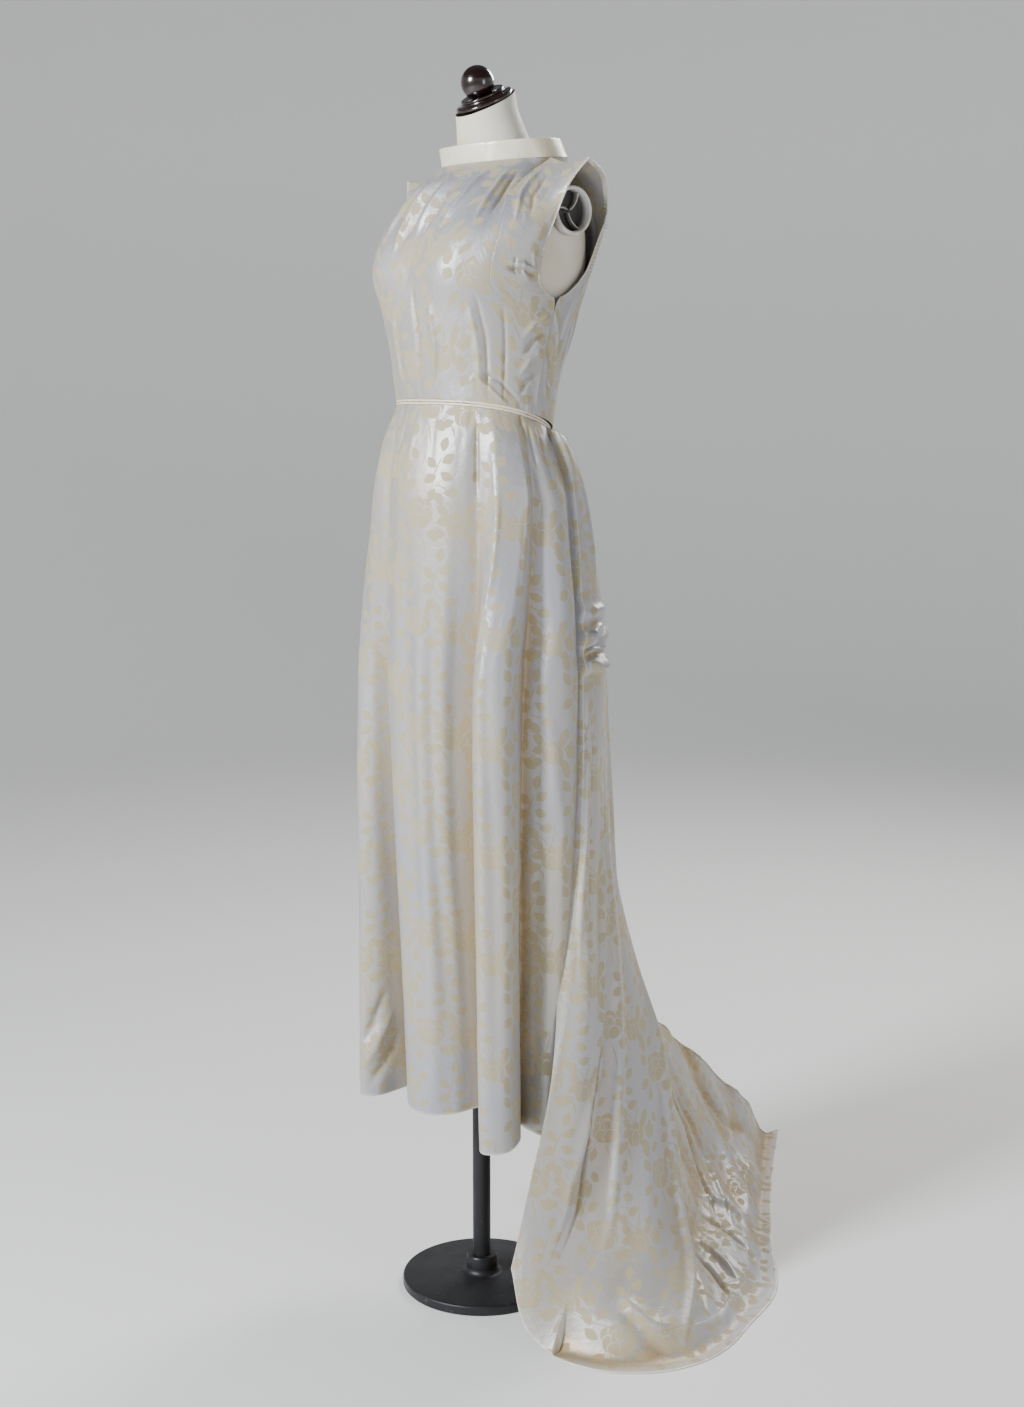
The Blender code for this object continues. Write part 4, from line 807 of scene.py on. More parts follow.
def build_stitches(look):
    # Short overcast stitches along each armhole edge
    vertices, faces = [], []
    for line, off, normals in ARMHOLE_LINES:
        runs = np.concatenate([[0.0], np.cumsum(np.linalg.norm(np.diff(line, axis=0), axis=1))])
        for run in np.arange(STITCH_STEP, runs[-1] - STITCH_STEP, STITCH_STEP):
            spot, inward, up = (
                np.array([np.interp(run, runs, grid[:, k]) for k in range(3)]) for grid in (line, -off, normals)
            )
            inward, up = unit(inward), unit(up)
            along_edge = np.cross(inward, up)
            lean = unit(inward + 0.45 * along_edge)
            across = np.cross(lean, up)
            base = len(vertices)
            for share, swell in ((0.0, 0.3), (0.3, 1.0), (0.7, 1.0), (1.0, 0.3)):
                middle = spot + inward * 0.0006 + lean * STITCH_LENGTH * share + up * STITCH_RADIUS * 0.8
                for k in range(4):
                    angle = math.pi / 2 * k
                    turn = across * math.cos(angle) + up * math.sin(angle)
                    vertices.append(tuple(middle + turn * STITCH_RADIUS * swell))
            for ring in range(3):
                for k in range(4):
                    low = base + ring * 4
                    faces.append((low + k, low + (k + 1) % 4, low + 4 + (k + 1) % 4, low + 4 + k))
            faces.append((base + 3, base + 2, base + 1, base))
            faces.append((base + 12, base + 13, base + 14, base + 15))
    mesh = bpy.data.meshes.new("armhole_stitches")
    mesh.from_pydata(vertices, [], faces)
    mesh.polygons.foreach_set("use_smooth", [True] * len(mesh.polygons))
    mesh.materials.append(look)
    made = bpy.data.objects.new("armhole_stitches", mesh)
    bpy.context.scene.collection.objects.link(made)
    return made


def build_collar(look):
    columns = 300
    profile = [(h, 0.0) for h in np.linspace(0.0, 0.955, 10)]
    profile += [(0.985, -0.0004), (1.0, -0.0013), (0.985, -0.0022)]
    profile += [(h, -0.0026) for h in np.linspace(0.955, 0.0, 8)]
    grid = np.zeros((len(profile), columns, 3))
    for c in range(columns):
        degrees = -180 + 360 * c / columns
        behind = float(smooth_step(60, 130, abs(degrees)))
        lean = COLLAR_LEAN + (COLLAR_LEAN_BEHIND - COLLAR_LEAN) * behind
        notch = math.exp(-(((degrees - 31) / 3.2) ** 2)) + 0.6 * math.exp(-(((degrees + 48) / 3.0) ** 2))
        wave = 0.0005 * math.sin(math.radians(degrees * 7)) + 0.0004 * math.sin(math.radians(degrees * 12.6 + 40))
        for r, (share, out) in enumerate(profile):
            bend = (wave - 0.0014 * notch) * share
            grid[r, c] = collar_spot(degrees, COLLAR_HEIGHT * share, lean * share + out + bend)
    grid = grid[::-1]
    wide = np.concatenate([grid, grid[:, :1]], axis=1)
    s, d = lay_flat(wide, columns // 2)
    return grid_object("collar_band_cloth", [strip(grid, s, d)], look)


def build_rolls(look):
    made = []
    around = 14
    columns = 360
    for name, rise in (("waist_roll_upper", 1), ("waist_roll_lower", -1)):
        grid = np.zeros((columns, around, 3))
        for c in range(columns):
            degrees = 360 * c / columns
            flat = on_ellipse(degrees, WAIST_HALF_WIDTH, WAIST_HALF_DEPTH, WAIST_CENTRE_Y)
            outward = unit(flat - np.array([0.0, WAIST_CENTRE_Y]))
            middle_z = waist_z(degrees) + rise * (ROLL_RADIUS + SEAM_GAP / 2)
            for k in range(around):
                angle = 2 * math.pi * (k + 0.5) / around + math.pi
                twist = 1 + 0.045 * math.sin(math.radians(degrees * 46) + 2 * angle * rise)
                radius = ROLL_RADIUS * 0.97 * twist
                spot = flat + outward * (ROLL_OUT + radius * math.cos(angle))
                grid[c, k] = (spot[0], spot[1], middle_z + radius * math.sin(angle) * 0.97)
        grid = np.concatenate([grid, grid[:1]], axis=0)
        s, d = lay_flat(grid, 0)
        made.append(grid_object(name + "_cloth", [strip(grid, s, d)], look))
    return made


# Train
def train_line_points(line):
    _, degrees, hip, tuck, knee, calf, low, hem = line
    waist = on_ellipse(degrees, WAIST_HALF_WIDTH, WAIST_HALF_DEPTH, WAIST_CENTRE_Y)
    outward = unit(waist - np.array([0.0, WAIST_CENTRE_Y]))
    top = waist + outward * TRAIN_TOP_OUT
    top_z = waist_z(degrees) - 2 * ROLL_RADIUS - SEAM_GAP - TRAIN_TOP_DROP
    shelf = waist + outward * TRAIN_SHELF
    shelf_z = top_z - TRAIN_SHELF_DROP
    return np.array([
        (top[0], top[1], top_z), (shelf[0], shelf[1], shelf_z),
        (*hip, TRAIN_HIP_Z), (*tuck, TRAIN_TUCK_Z), knee, calf, low, hem,
    ])


def train_grid(steps, levels):
    lines = np.array([train_line_points(line) for line in TRAIN_LINES])
    flat = through_rows(lines.reshape(len(lines), -1), steps)
    lines = flat.reshape(len(flat), -1, 3).transpose(1, 0, 2)
    return along(TRAIN_STATIONS, lines, levels)

TRAIN_CREASES = (
    # name, half width, height, sharpness, path of (line from the near edge, level from waist to hem)
    ("pinch_a", 0.0040, 0.0060, 0.3, ((0.0, 0.268), (0.8, 0.250), (2.2, 0.236))),
    ("pinch_a_under", 0.0036, -0.0040, 0.3, ((0.1, 0.272), (1.0, 0.258), (2.4, 0.247))),
    ("pinch_b", 0.0038, 0.0052, 0.3, ((0.0, 0.272), (1.0, 0.266), (2.6, 0.262))),
    ("pinch_b_under", 0.0034, -0.0040, 0.3, ((0.1, 0.276), (1.1, 0.274), (2.4, 0.273))),
    ("pinch_c", 0.0042, 0.0060, 0.3, ((0.2, 0.280), (1.3, 0.286), (2.4, 0.284))),
    ("pinch_upper", 0.0040, 0.0040, 0.3, ((0.1, 0.232), (1.1, 0.222), (2.4, 0.220))),
    ("near_fold", 0.0060, 0.0040, 0.1, ((0.5, 0.30), (0.55, 0.45), (0.5, 0.62))),
    ("near_trough", 0.0050, -0.0036, 0.2, ((1.2, 0.31), (1.15, 0.48), (1.0, 0.60))),
    ("crease_lip", 0.0100, 0.0060, 0.1, ((2.4, 0.40), (2.3, 0.55), (1.7, 0.72), (1.1, 0.84), (1.0, 0.93))),
    ("crease", 0.0034, -0.0130, 0.5, ((3.1, 0.365), (3.0, 0.48), (2.1, 0.64), (1.55, 0.77), (1.55, 0.84), (1.35, 0.93))),
    ("crease_face", 0.0130, 0.0050, 0.0, ((3.6, 0.42), (3.5, 0.55), (2.9, 0.70), (2.6, 0.84), (2.5, 0.93))),
    ("ridge_crest", 0.0110, 0.0085, 0.1, ((5.6, 0.60), (5.9, 0.68), (6.0, 0.78), (6.0, 0.86), (5.8, 0.93), (5.5, 0.985))),
    ("ridge_shadow", 0.0120, -0.0110, 0.1, ((6.9, 0.72), (6.9, 0.80), (6.8, 0.88), (6.5, 0.95))),
    ("far_crease", 0.0060, -0.0070, 0.3, ((11.3, 0.77), (10.8, 0.83), (10.1, 0.875), (9.2, 0.915))),
    ("far_crease_lip", 0.0070, 0.0060, 0.2, ((11.5, 0.79), (11.0, 0.85), (10.3, 0.90), (9.5, 0.94))),
    ("floor_diagonal", 0.0070, -0.0080, 0.3, ((7.5, 0.85), (7.9, 0.90), (8.0, 0.96))),
    ("floor_diagonal_lip", 0.0090, 0.0070, 0.2, ((7.9, 0.84), (8.4, 0.90), (8.5, 0.96))),
    ("far_wrinkle_a", 0.0070, 0.0070, 0.3, ((9.4, 0.86), (10.0, 0.93), (10.1, 0.98))),
    ("far_wrinkle_b", 0.0060, -0.0060, 0.3, ((9.0, 0.87), (9.4, 0.93), (9.3, 0.98))),
    ("far_wrinkle_c", 0.0070, 0.0060, 0.3, ((11.2, 0.90), (10.9, 0.95), (11.2, 0.985))),
    ("far_wrinkle_d", 0.0060, -0.0050, 0.3, ((11.7, 0.86), (11.4, 0.92), (11.6, 0.97))),
    ("lower_soft", 0.0100, -0.0040, 0.2, ((3.6, 0.945), (4.6, 0.965), (5.4, 0.985))),
    ("lower_soft_lip", 0.0100, 0.0040, 0.1, ((3.4, 0.93), (4.4, 0.95), (5.3, 0.968))),
    ("back_fold_a", 0.0130, 0.0070, 0.0, ((7.4, 0.06), (7.6, 0.30), (7.8, 0.55), (7.4, 0.80))),
    ("back_fold_b", 0.0110, -0.0070, 0.1, ((8.3, 0.06), (8.5, 0.30), (8.6, 0.55), (8.4, 0.78))),
    ("back_fold_c", 0.0140, 0.0070, 0.0, ((9.4, 0.06), (9.5, 0.32), (9.7, 0.60), (9.4, 0.84))),
    ("back_fold_d", 0.0100, -0.0070, 0.1, ((10.4, 0.06), (10.5, 0.30), (10.6, 0.58), (10.5, 0.76))),
    ("back_fold_e", 0.0120, 0.0060, 0.0, ((11.2, 0.07), (11.3, 0.32), (11.4, 0.62))),
    ("back_fold_f", 0.0110, -0.0060, 0.1, ((6.3, 0.06), (6.4, 0.30), (6.5, 0.52))),
    ("side_fold_a", 0.0110, 0.0040, 0.0, ((4.6, 0.08), (4.7, 0.30), (4.7, 0.55))),
    ("side_fold_b", 0.0090, -0.0036, 0.1, ((4.1, 0.05), (4.1, 0.18))),
    ("side_fold_c", 0.0080, -0.0036, 0.1, ((2.6, 0.04), (2.6, 0.16))),
    ("side_fold_d", 0.0070, 0.0030, 0.1, ((1.6, 0.04), (1.6, 0.20))),
)


def train_fall(s, d, line, level):
    hang = smooth_step(0.03, 0.2, level)[:, None]
    low = smooth_step(0.62, 0.9, level)[:, None]
    far = smooth_step(6.5, 9.5, line)[None, :]
    lying = 1 - smooth_step(0.965, 0.99, level)[:, None]
    out = ripple(s, d, 0.085, 0.42, 0.0030, 41) * hang * (1 - 0.5 * low)
    out += ripple(s, d, 0.030, 0.16, 0.0010, 43, 0.05) * hang
    out += ripple(s, d, 0.060, 0.090, 0.0050, 45, 0.4) * low * far
    out += crumple(s, d, 0.085, 0.0040, 51) * low * (0.25 + 0.75 * far)
    out += crumple(s, d, 0.040, 0.0012, 55) * low * (0.15 + 0.85 * far)
    gather = (np.exp(-level / 0.05) * smooth_step(0.0, 0.02, level))[:, None]
    out += ripple(s, d, 0.011, 0.10, 0.0026, 57) * gather
    return out * lying


def settle_flat(points, s, d, turns=1500):
    # Flattens the cloth so that its lengths both ways and across stay true
    rows = np.unique(np.linspace(0, len(points) - 1, 64).astype(int))
    columns = np.unique(np.linspace(0, points.shape[1] - 1, 49).astype(int))
    coarse = points[rows][:, columns]
    flat = np.stack([s, -d], axis=2)[rows][:, columns]
    links = []
    for dr, dc in ((0, 1), (1, 0), (1, 1), (1, -1)):
        here = (slice(0, len(rows) - dr), slice(max(-dc, 0), len(columns) - max(dc, 0)))
        there = (slice(dr, len(rows)), slice(max(dc, 0), len(columns) + min(dc, 0)))
        links.append((here, there, np.linalg.norm(coarse[there] - coarse[here], axis=2)))
    for _ in range(turns):
        move = np.zeros_like(flat)
        for here, there, rest in links:
            gap = flat[there] - flat[here]
            length = np.maximum(np.linalg.norm(gap, axis=2), 1e-6)
            pull = gap * (0.5 * (1 - rest / length))[:, :, None]
            move[here] += pull
            move[there] -= pull
        flat = flat + 0.24 * move
    down = flat[-1, len(columns) // 3] - flat[0, len(columns) // 3]
    turn = math.atan2(down[0], -down[1])
    x = flat[:, :, 0] * math.cos(turn) + flat[:, :, 1] * math.sin(turn)
    y = -flat[:, :, 0] * math.sin(turn) + flat[:, :, 1] * math.cos(turn)
    result = []
    for grid in (x, -y):
        tall = np.array([np.interp(np.arange(len(points)), rows, column) for column in grid.T]).T
        result.append(np.array([np.interp(np.arange(points.shape[1]), columns, line) for line in tall]))
    return result


RETURN_AWAY = (-0.0170, -0.0080, 0.0)
RETURN_WIDE = 0.019
TRAIN_GAIN = 1.4


def build_train(look):
    levels = np.concatenate([
        np.linspace(0.0, 0.20, 34, endpoint=False),
        np.linspace(0.20, 0.31, 50, endpoint=False),
        np.linspace(0.31, 0.86, 130, endpoint=False),
        np.linspace(0.86, 1.0, 76),
    ])
    steps = 24
    inner = train_grid(steps, levels)
    rows, columns, _ = inner.shape
    line = np.arange(columns) / steps
    share = np.linspace(0.0, 1.0, columns)[None, :]
    out = np.zeros((rows, columns))
    for _, height, rise, wide, high in TUCK_RIDGES:
        middle = height + rise * (1 - share)
        fade = 1 - 0.7 * smooth_step(0.1, 0.8, share)
        out += high * fade * np.exp(-(((inner[:, :, 2] - middle) / wide) ** 2))
    inner = inner + grid_normals(inner) * out[:, :, None]
    s, d = lay_flat(inner, 5 * steps)
    out = TRAIN_GAIN * crease_field(line, levels, s, d, TRAIN_CREASES) + train_fall(s, d, line, levels)
    normals = grid_normals(inner)
    face = inner + normals * (FACE_OUT + out)[:, :, None]
    on_floor = inner[-1, :, 2] < FLOOR_REACH
    settle = smooth_step(0.955, 0.985, levels)[:, None] * on_floor[None, :]
    face[:, :, 2] = face[:, :, 2] * (1 - settle) + FLOOR_CLOTH * settle
    face[:, :, 2] = np.maximum(face[:, :, 2], FLOOR_CLOTH)
    normals = grid_normals(face)
    fold = np.clip(hollow_depth(face, normals, 110) / 0.0060, 0.0, 1.0)
    s, d = lay_flat(face, 5 * steps)
    u, v = settle_flat(face, s, d)
    sides = np.minimum(s - s[:, :1], s[:, -1:] - s)
    edge = np.clip(np.minimum(sides, d[-1:] - d), 0.0, HEM_REACH)
    strips = [strip(face, u, v, fold, edge)]
    down = unit(face[-1] - face[-2])
    strips.append(turned_edge(face[-1], down, normals[-1], u[-1], v[-1], 0))
    near = face[:, 0]
    reach = smooth_step(-0.02, 0.02, levels) * (1 - smooth_step(0.60, 0.80, levels))
    tuck = [near + (np.array(RETURN_AWAY) * share)[None, :] * reach[:, None] for share in (1.0, 0.66, 0.33)]
    returned = np.stack(tuck + [near], axis=1)
    u_return = np.stack([u[:, 0] - RETURN_WIDE * share for share in (1.0, 0.66, 0.33, 0.0)], axis=1)
    strips.append(strip(returned, u_return, np.repeat(v[:, :1], 4, axis=1)))
    for end, step in ((-1, -1),):
        off = unit(face[:, end] - face[:, end + step])
        strips.append(turned_edge(face[:, end], off, normals[:, end], u[:, end], v[:, end], -step))
    for part in strips[1:]:
        part["points"][:, :, 2] = np.maximum(part["points"][:, :, 2], 0.0004)
    return grid_object("train_cloth", strips, look)


# Dress form
SOCKET_CENTRE = (0.130, 0.040, 1.651)
SOCKET_RADIUS = 0.0340
SOCKET_WALL = 0.0050
SOCKET_LENGTH = 0.034
SOCKET_CUP = 0.020
SOCKET_HOLE = 0.0318
CAP_RADIUS = 0.0435
KNOB_RADIUS = 0.0245
POLE_RADIUS = 0.014
FOOT_RADIUS = 0.125
FOOT_HEIGHT = 0.016
FOOT_EDGE = 0.004
TORSO_FOOT_Z = 1.180


def turned(name, profile, segments, look, place=None):
    # Body turned about Z from a profile of (radius, height)
    place = place or Matrix.Identity(4)
    body = bmesh.new()
    rings = []
    for radius, height in profile:
        count = segments if radius > 1e-6 else 1
        ring = []
        for k in range(count):
            angle = 2 * math.pi * k / segments
            ring.append(body.verts.new(place @ Vector((radius * math.cos(angle), radius * math.sin(angle), height))))
        rings.append(ring)
    for low, high in zip(rings, rings[1:]):
        for k in range(segments):
            corners = (low[k % len(low)], low[(k + 1) % len(low)], high[(k + 1) % len(high)], high[k % len(high)])
            body.faces.new(list(dict.fromkeys(corners)))
    bmesh.ops.recalc_face_normals(body, faces=body.faces)
    mesh = bpy.data.meshes.new(name)
    body.to_mesh(mesh)
    body.free()
    mesh.polygons.foreach_set("use_smooth", [True] * len(mesh.polygons))
    mesh.set_sharp_from_angle(angle=math.radians(38))
    mesh.materials.append(look)
    made = bpy.data.objects.new(name, mesh)
    bpy.context.scene.collection.objects.link(made)
    return made


def build_torso(look):
    sections = np.array(TORSO_SECTIONS)
    marks = np.concatenate([[0.0], np.cumsum(np.linalg.norm(np.diff(sections[:, :4], axis=0), axis=1))])
    fine = along(marks, sections, np.linspace(0.0, marks[-1], 300))
    columns = 220
    grid = np.zeros((len(fine), columns, 3))
    angle = np.linspace(-math.pi, math.pi, columns, endpoint=False)
    for r, (z, half, front, back, slope, square) in enumerate(fine[::-1]):
        centre = (front + back) / 2
        depth = (back - front) / 2
        power = np.where(np.cos(angle) < 0, 2 / square, 1.0)
        x = half * np.sign(np.sin(angle)) * np.abs(np.sin(angle)) ** power
        y = centre - depth * np.sign(np.cos(angle)) * np.abs(np.cos(angle)) ** power
        grid[r] = np.stack([x, y, z + slope * (y - centre)], axis=1)
    foot = grid[-1:] * np.array([0.0, 0.0, 1.0])
    cap = np.concatenate([grid[-1:] * (1 - t) + foot * t for t in (0.03, 0.5, 0.999)])
    grid = np.concatenate([grid, cap])
    wide = np.concatenate([grid, grid[:, :1]], axis=1)
    s, d = lay_flat(wide, columns // 2)
    made = grid_object("form_torso_cover", [strip(grid, s, d)], look)
    body = bmesh.new()
    body.from_mesh(made.data)
    bmesh.ops.remove_doubles(body, verts=body.verts, dist=0.0001)

    def reach(vert):
        return math.hypot(vert.co.y - SOCKET_CENTRE[1], vert.co.z - SOCKET_CENTRE[2])

    inside = [v for v in body.verts if abs(v.co.x) > 0.10 and reach(v) < SOCKET_HOLE - 0.0012]
    bmesh.ops.delete(body, geom=inside, context="VERTS")
    for vert in body.verts:
        if vert.is_boundary and abs(vert.co.x) > 0.10:
            scale = SOCKET_HOLE / max(reach(vert), 1e-6)
            vert.co.y = SOCKET_CENTRE[1] + (vert.co.y - SOCKET_CENTRE[1]) * scale
            vert.co.z = SOCKET_CENTRE[2] + (vert.co.z - SOCKET_CENTRE[2]) * scale
    body.to_mesh(made.data)
    body.free()
    return made


def socket_place(side):
    x, y, z = SOCKET_CENTRE
    return Matrix.Translation((side * x, y, z)) @ Matrix.Rotation(side * math.pi / 2, 4, "Y")


def build_sockets(look, dark):
    made = []
    inside = SOCKET_RADIUS - SOCKET_WALL
    floor = SOCKET_LENGTH - SOCKET_CUP
    for side, word in ((1, "left"), (-1, "right")):
        profile = [(0.0, 0.0), (SOCKET_RADIUS, 0.0), (SOCKET_RADIUS, SOCKET_LENGTH - 0.0035)]
        profile += [(SOCKET_RADIUS + 0.0002, SOCKET_LENGTH - 0.0030)]
        middle = SOCKET_RADIUS - 0.0018
        for k in range(7):
            angle = math.radians(90 * k / 6)
            profile.append((middle + 0.0018 * math.cos(angle), SOCKET_LENGTH - 0.0018 + 0.0018 * math.sin(angle)))
        profile += [(inside + 0.0016, SOCKET_LENGTH), (inside + 0.0006, SOCKET_LENGTH - 0.0004)]
        profile += [(inside, SOCKET_LENGTH - 0.0014), (inside, floor + 0.002), (inside - 0.002, floor), (0.0, floor)]
        ring = turned(f"arm_socket_{word}_fine", profile, 120, look, socket_place(side))
        made.append((ring, f"arm_socket_{word}"))
        made.append((build_vane(side, word, inside - 0.0008, floor + SEAM_GAP, look), f"socket_vane_{word}"))
    return made


def build_vane(side, word, reach, floor, look):
    # Three curved fins from a small hub, each leaning a little and lower at the hub
    place = socket_place(side)
    vertices, faces = [], []
    steps = 18
    for arm in range(3):
        start = 2 * math.pi * arm / 3
        base = len(vertices)
        for k in range(steps + 1):
            share = k / steps
            radius = 0.0030 + (reach - 0.0030) * share
            bend = start + 0.55 * share
            high = floor + 0.0125 * (0.62 + 0.38 * share)
            for turn, height, thick in ((-1, floor, 1.5), (-1, high, 0.8), (1, high, 0.8), (1, floor, 1.5)):
                angle = bend + turn * math.asin(min(0.001 * thick / radius, 0.9))
                vertices.append(tuple(place @ Vector((radius * math.cos(angle), radius * math.sin(angle), height))))
        for k in range(steps):
            for j in range(4):
                low = base + 4 * k
                faces.append((low + j, low + (j + 1) % 4, low + 4 + (j + 1) % 4, low + 4 + j))
        faces.append(tuple(base + j for j in (3, 2, 1, 0)))
        faces.append(tuple(base + 4 * steps + j for j in (0, 1, 2, 3)))
    mesh = bpy.data.meshes.new(f"socket_vane_{word}_fine")
    mesh.from_pydata(vertices, [], faces)
    body = bmesh.new()
    body.from_mesh(mesh)
    bmesh.ops.recalc_face_normals(body, faces=body.faces)
    body.to_mesh(mesh)
    body.free()
    mesh.polygons.foreach_set("use_smooth", [True] * len(mesh.polygons))
    mesh.set_sharp_from_angle(angle=math.radians(38))
    mesh.materials.append(look)
    made = bpy.data.objects.new(mesh.name, mesh)
    bpy.context.scene.collection.objects.link(made)
    return made


def build_cap(look):
    place = Matrix.Translation((0.0, NECK_TOP_Y, NECK_TOP_Z)) @ Matrix.Rotation(NECK_TILT, 4, "X")
    disc = CAP_RADIUS
    profile = [(0.0, SEAM_GAP), (disc - 0.002, SEAM_GAP)]
    for k in range(9):
        angle = math.radians(-90 + 180 * k / 8)
        profile.append((disc - 0.0030 + 0.0030 * math.cos(angle), 0.0040 + 0.0034 * math.sin(angle)))
    profile += [(disc - 0.008, 0.0078), (disc - 0.0095, 0.0086), (disc - 0.0102, 0.0100)]
    for k in range(6):
        angle = math.radians(-60 + 150 * k / 5)
        profile.append((disc - 0.0125 + 0.0022 * math.cos(angle), 0.0124 + 0.0022 * math.sin(angle)))
    middle = 0.0155 + KNOB_RADIUS * 0.62
    for k in range(25):
        angle = math.radians(-50 + 140 * k / 24)
        radius = KNOB_RADIUS * math.cos(angle) if k < 24 else 0.0
        profile.append((radius, middle + KNOB_RADIUS * math.sin(angle)))
    return turned("neck_cap_turned", profile, 96, look, place)


def build_stand(look):
    foot = [(0.0, 0.0), (FOOT_RADIUS - 0.002, 0.0), (FOOT_RADIUS, 0.002), (FOOT_RADIUS, FOOT_HEIGHT - FOOT_EDGE)]
    for k in range(1, 7):
        angle = math.radians(90 * k / 6)
        rim = (FOOT_RADIUS - FOOT_EDGE + FOOT_EDGE * math.cos(angle), FOOT_HEIGHT - FOOT_EDGE + FOOT_EDGE * math.sin(angle))
        foot.append(rim)
    foot += [(0.060, FOOT_HEIGHT + 0.0010), (0.034, FOOT_HEIGHT + 0.0020)]
    for k in range(7):
        angle = math.radians(90 * k / 6)
        foot.append((0.034 - 0.010 * math.sin(angle), FOOT_HEIGHT + 0.012 - 0.010 * math.cos(angle)))
    foot += [(0.024, FOOT_HEIGHT + 0.027), (0.022, FOOT_HEIGHT + 0.030), (0.0, FOOT_HEIGHT + 0.030)]
    low = FOOT_HEIGHT + 0.030 + SEAM_GAP
    top = TORSO_FOOT_Z - SEAM_GAP
    pole = ((0.0, low), (POLE_RADIUS, low), (POLE_RADIUS, top), (0.0, top))
    return turned("form_foot_fine", foot, 128, look), turned("form_pole_fine", pole, 64, look)


# Materials
class Nodes:
    def __init__(self, look):
        self.tree = look.node_tree

    def put(self, socket, value):
        if isinstance(value, bpy.types.NodeSocket):
            self.tree.links.new(value, socket)
        elif value is not None:
            socket.default_value = value

    def node(self, kind, **settings):
        made = self.tree.nodes.new(kind)
        for key, value in settings.items():
            setattr(made, key, value)
        return made

    def maths(self, operation, a, b=None, c=None, clamp=False):
        made = self.node("ShaderNodeMath", operation=operation, use_clamp=clamp)
        for socket, value in zip(made.inputs, (a, b, c)):
            self.put(socket, value)
        return made.outputs[0]

    def vectors(self, operation, a, b=None, c=None):
        made = self.node("ShaderNodeVectorMath", operation=operation)
        for socket, value in zip(made.inputs, (a, b, c)):
            self.put(socket, value)
        return made.outputs["Value"] if operation in ("DOT_PRODUCT", "LENGTH", "DISTANCE") else made.outputs["Vector"]

    def mix(self, share, a, b):
        made = self.node("ShaderNodeMix", data_type="RGBA")
        self.put(made.inputs[0], share)
        self.put(made.inputs[6], a)
        self.put(made.inputs[7], b)
        return made.outputs[2]

    def noise(self, vector, scale, detail=3.0, rough=0.5, kind="3D"):
        made = self.node("ShaderNodeTexNoise", noise_dimensions=kind)
        self.put(made.inputs["Vector"], vector)
        made.inputs["Scale"].default_value = scale
        made.inputs["Detail"].default_value = detail
        made.inputs["Roughness"].default_value = rough
        return made.outputs["Fac"]

    def ramp(self, value, low, high, a=0.0, b=1.0):
        made = self.node("ShaderNodeMapRange")
        for socket, number in zip(made.inputs, (value, low, high, a, b)):
            self.put(socket, number)
        return made.outputs[0]

def plain_look(name, colour, roughness, metallic=0.0, sheen=0.0, coat=0.0):
    look = bpy.data.materials.new(name)
    look.use_nodes = True
    shader = look.node_tree.nodes["Principled BSDF"]
    shader.inputs["Base Color"].default_value = (*colour, 1.0)
    shader.inputs["Roughness"].default_value = roughness
    shader.inputs["Metallic"].default_value = metallic
    shader.inputs["Sheen Weight"].default_value = sheen
    shader.inputs["Coat Weight"].default_value = coat
    return look, shader


# Woven roses and leaves, all in millimetres in a repeat of PATTERN_WIDE by PATTERN_TALL with a half drop
PATTERN_WIDE = 130.0
PATTERN_TALL = 168.0
PATTERN_SCALE = 1060.0
OPEN_ROSE = (
    # x, y, half width, half height, turn in degrees; from the back petal to the front one
    (-13.0, 8.0, 12.5, 15.0, 28.0),
    (13.0, 9.0, 12.0, 14.5, -28.0),
    (0.0, 14.0, 13.0, 11.0, 0.0),
    (-15.0, -4.0, 11.0, 14.0, 14.0),
    (15.0, -3.0, 11.0, 14.0, -16.0),
    (0.0, 3.0, 11.5, 12.5, 0.0),
    (2.0, 6.5, 6.0, 7.0, 20.0),
    (-7.5, -12.0, 13.0, 9.5, -24.0),
    (8.5, -12.0, 12.5, 9.5, 26.0),
)
SIDE_ROSE = (
    (-9.0, 7.0, 8.0, 13.0, 20.0),
    (9.0, 8.0, 8.0, 12.5, -22.0),
    (0.0, 10.0, 8.5, 12.0, 0.0),
    (-8.5, -2.0, 9.0, 13.5, 16.0),
    (9.5, -2.0, 8.5, 13.0, -14.0),
    (0.5, -4.0, 8.0, 12.5, 4.0),
)
BUD_ROSE = (
    (0.0, 6.0, 6.0, 11.5, 0.0),
    (-4.5, 0.0, 6.5, 11.5, 16.0),
    (5.0, -0.5, 6.0, 11.0, -14.0),
)
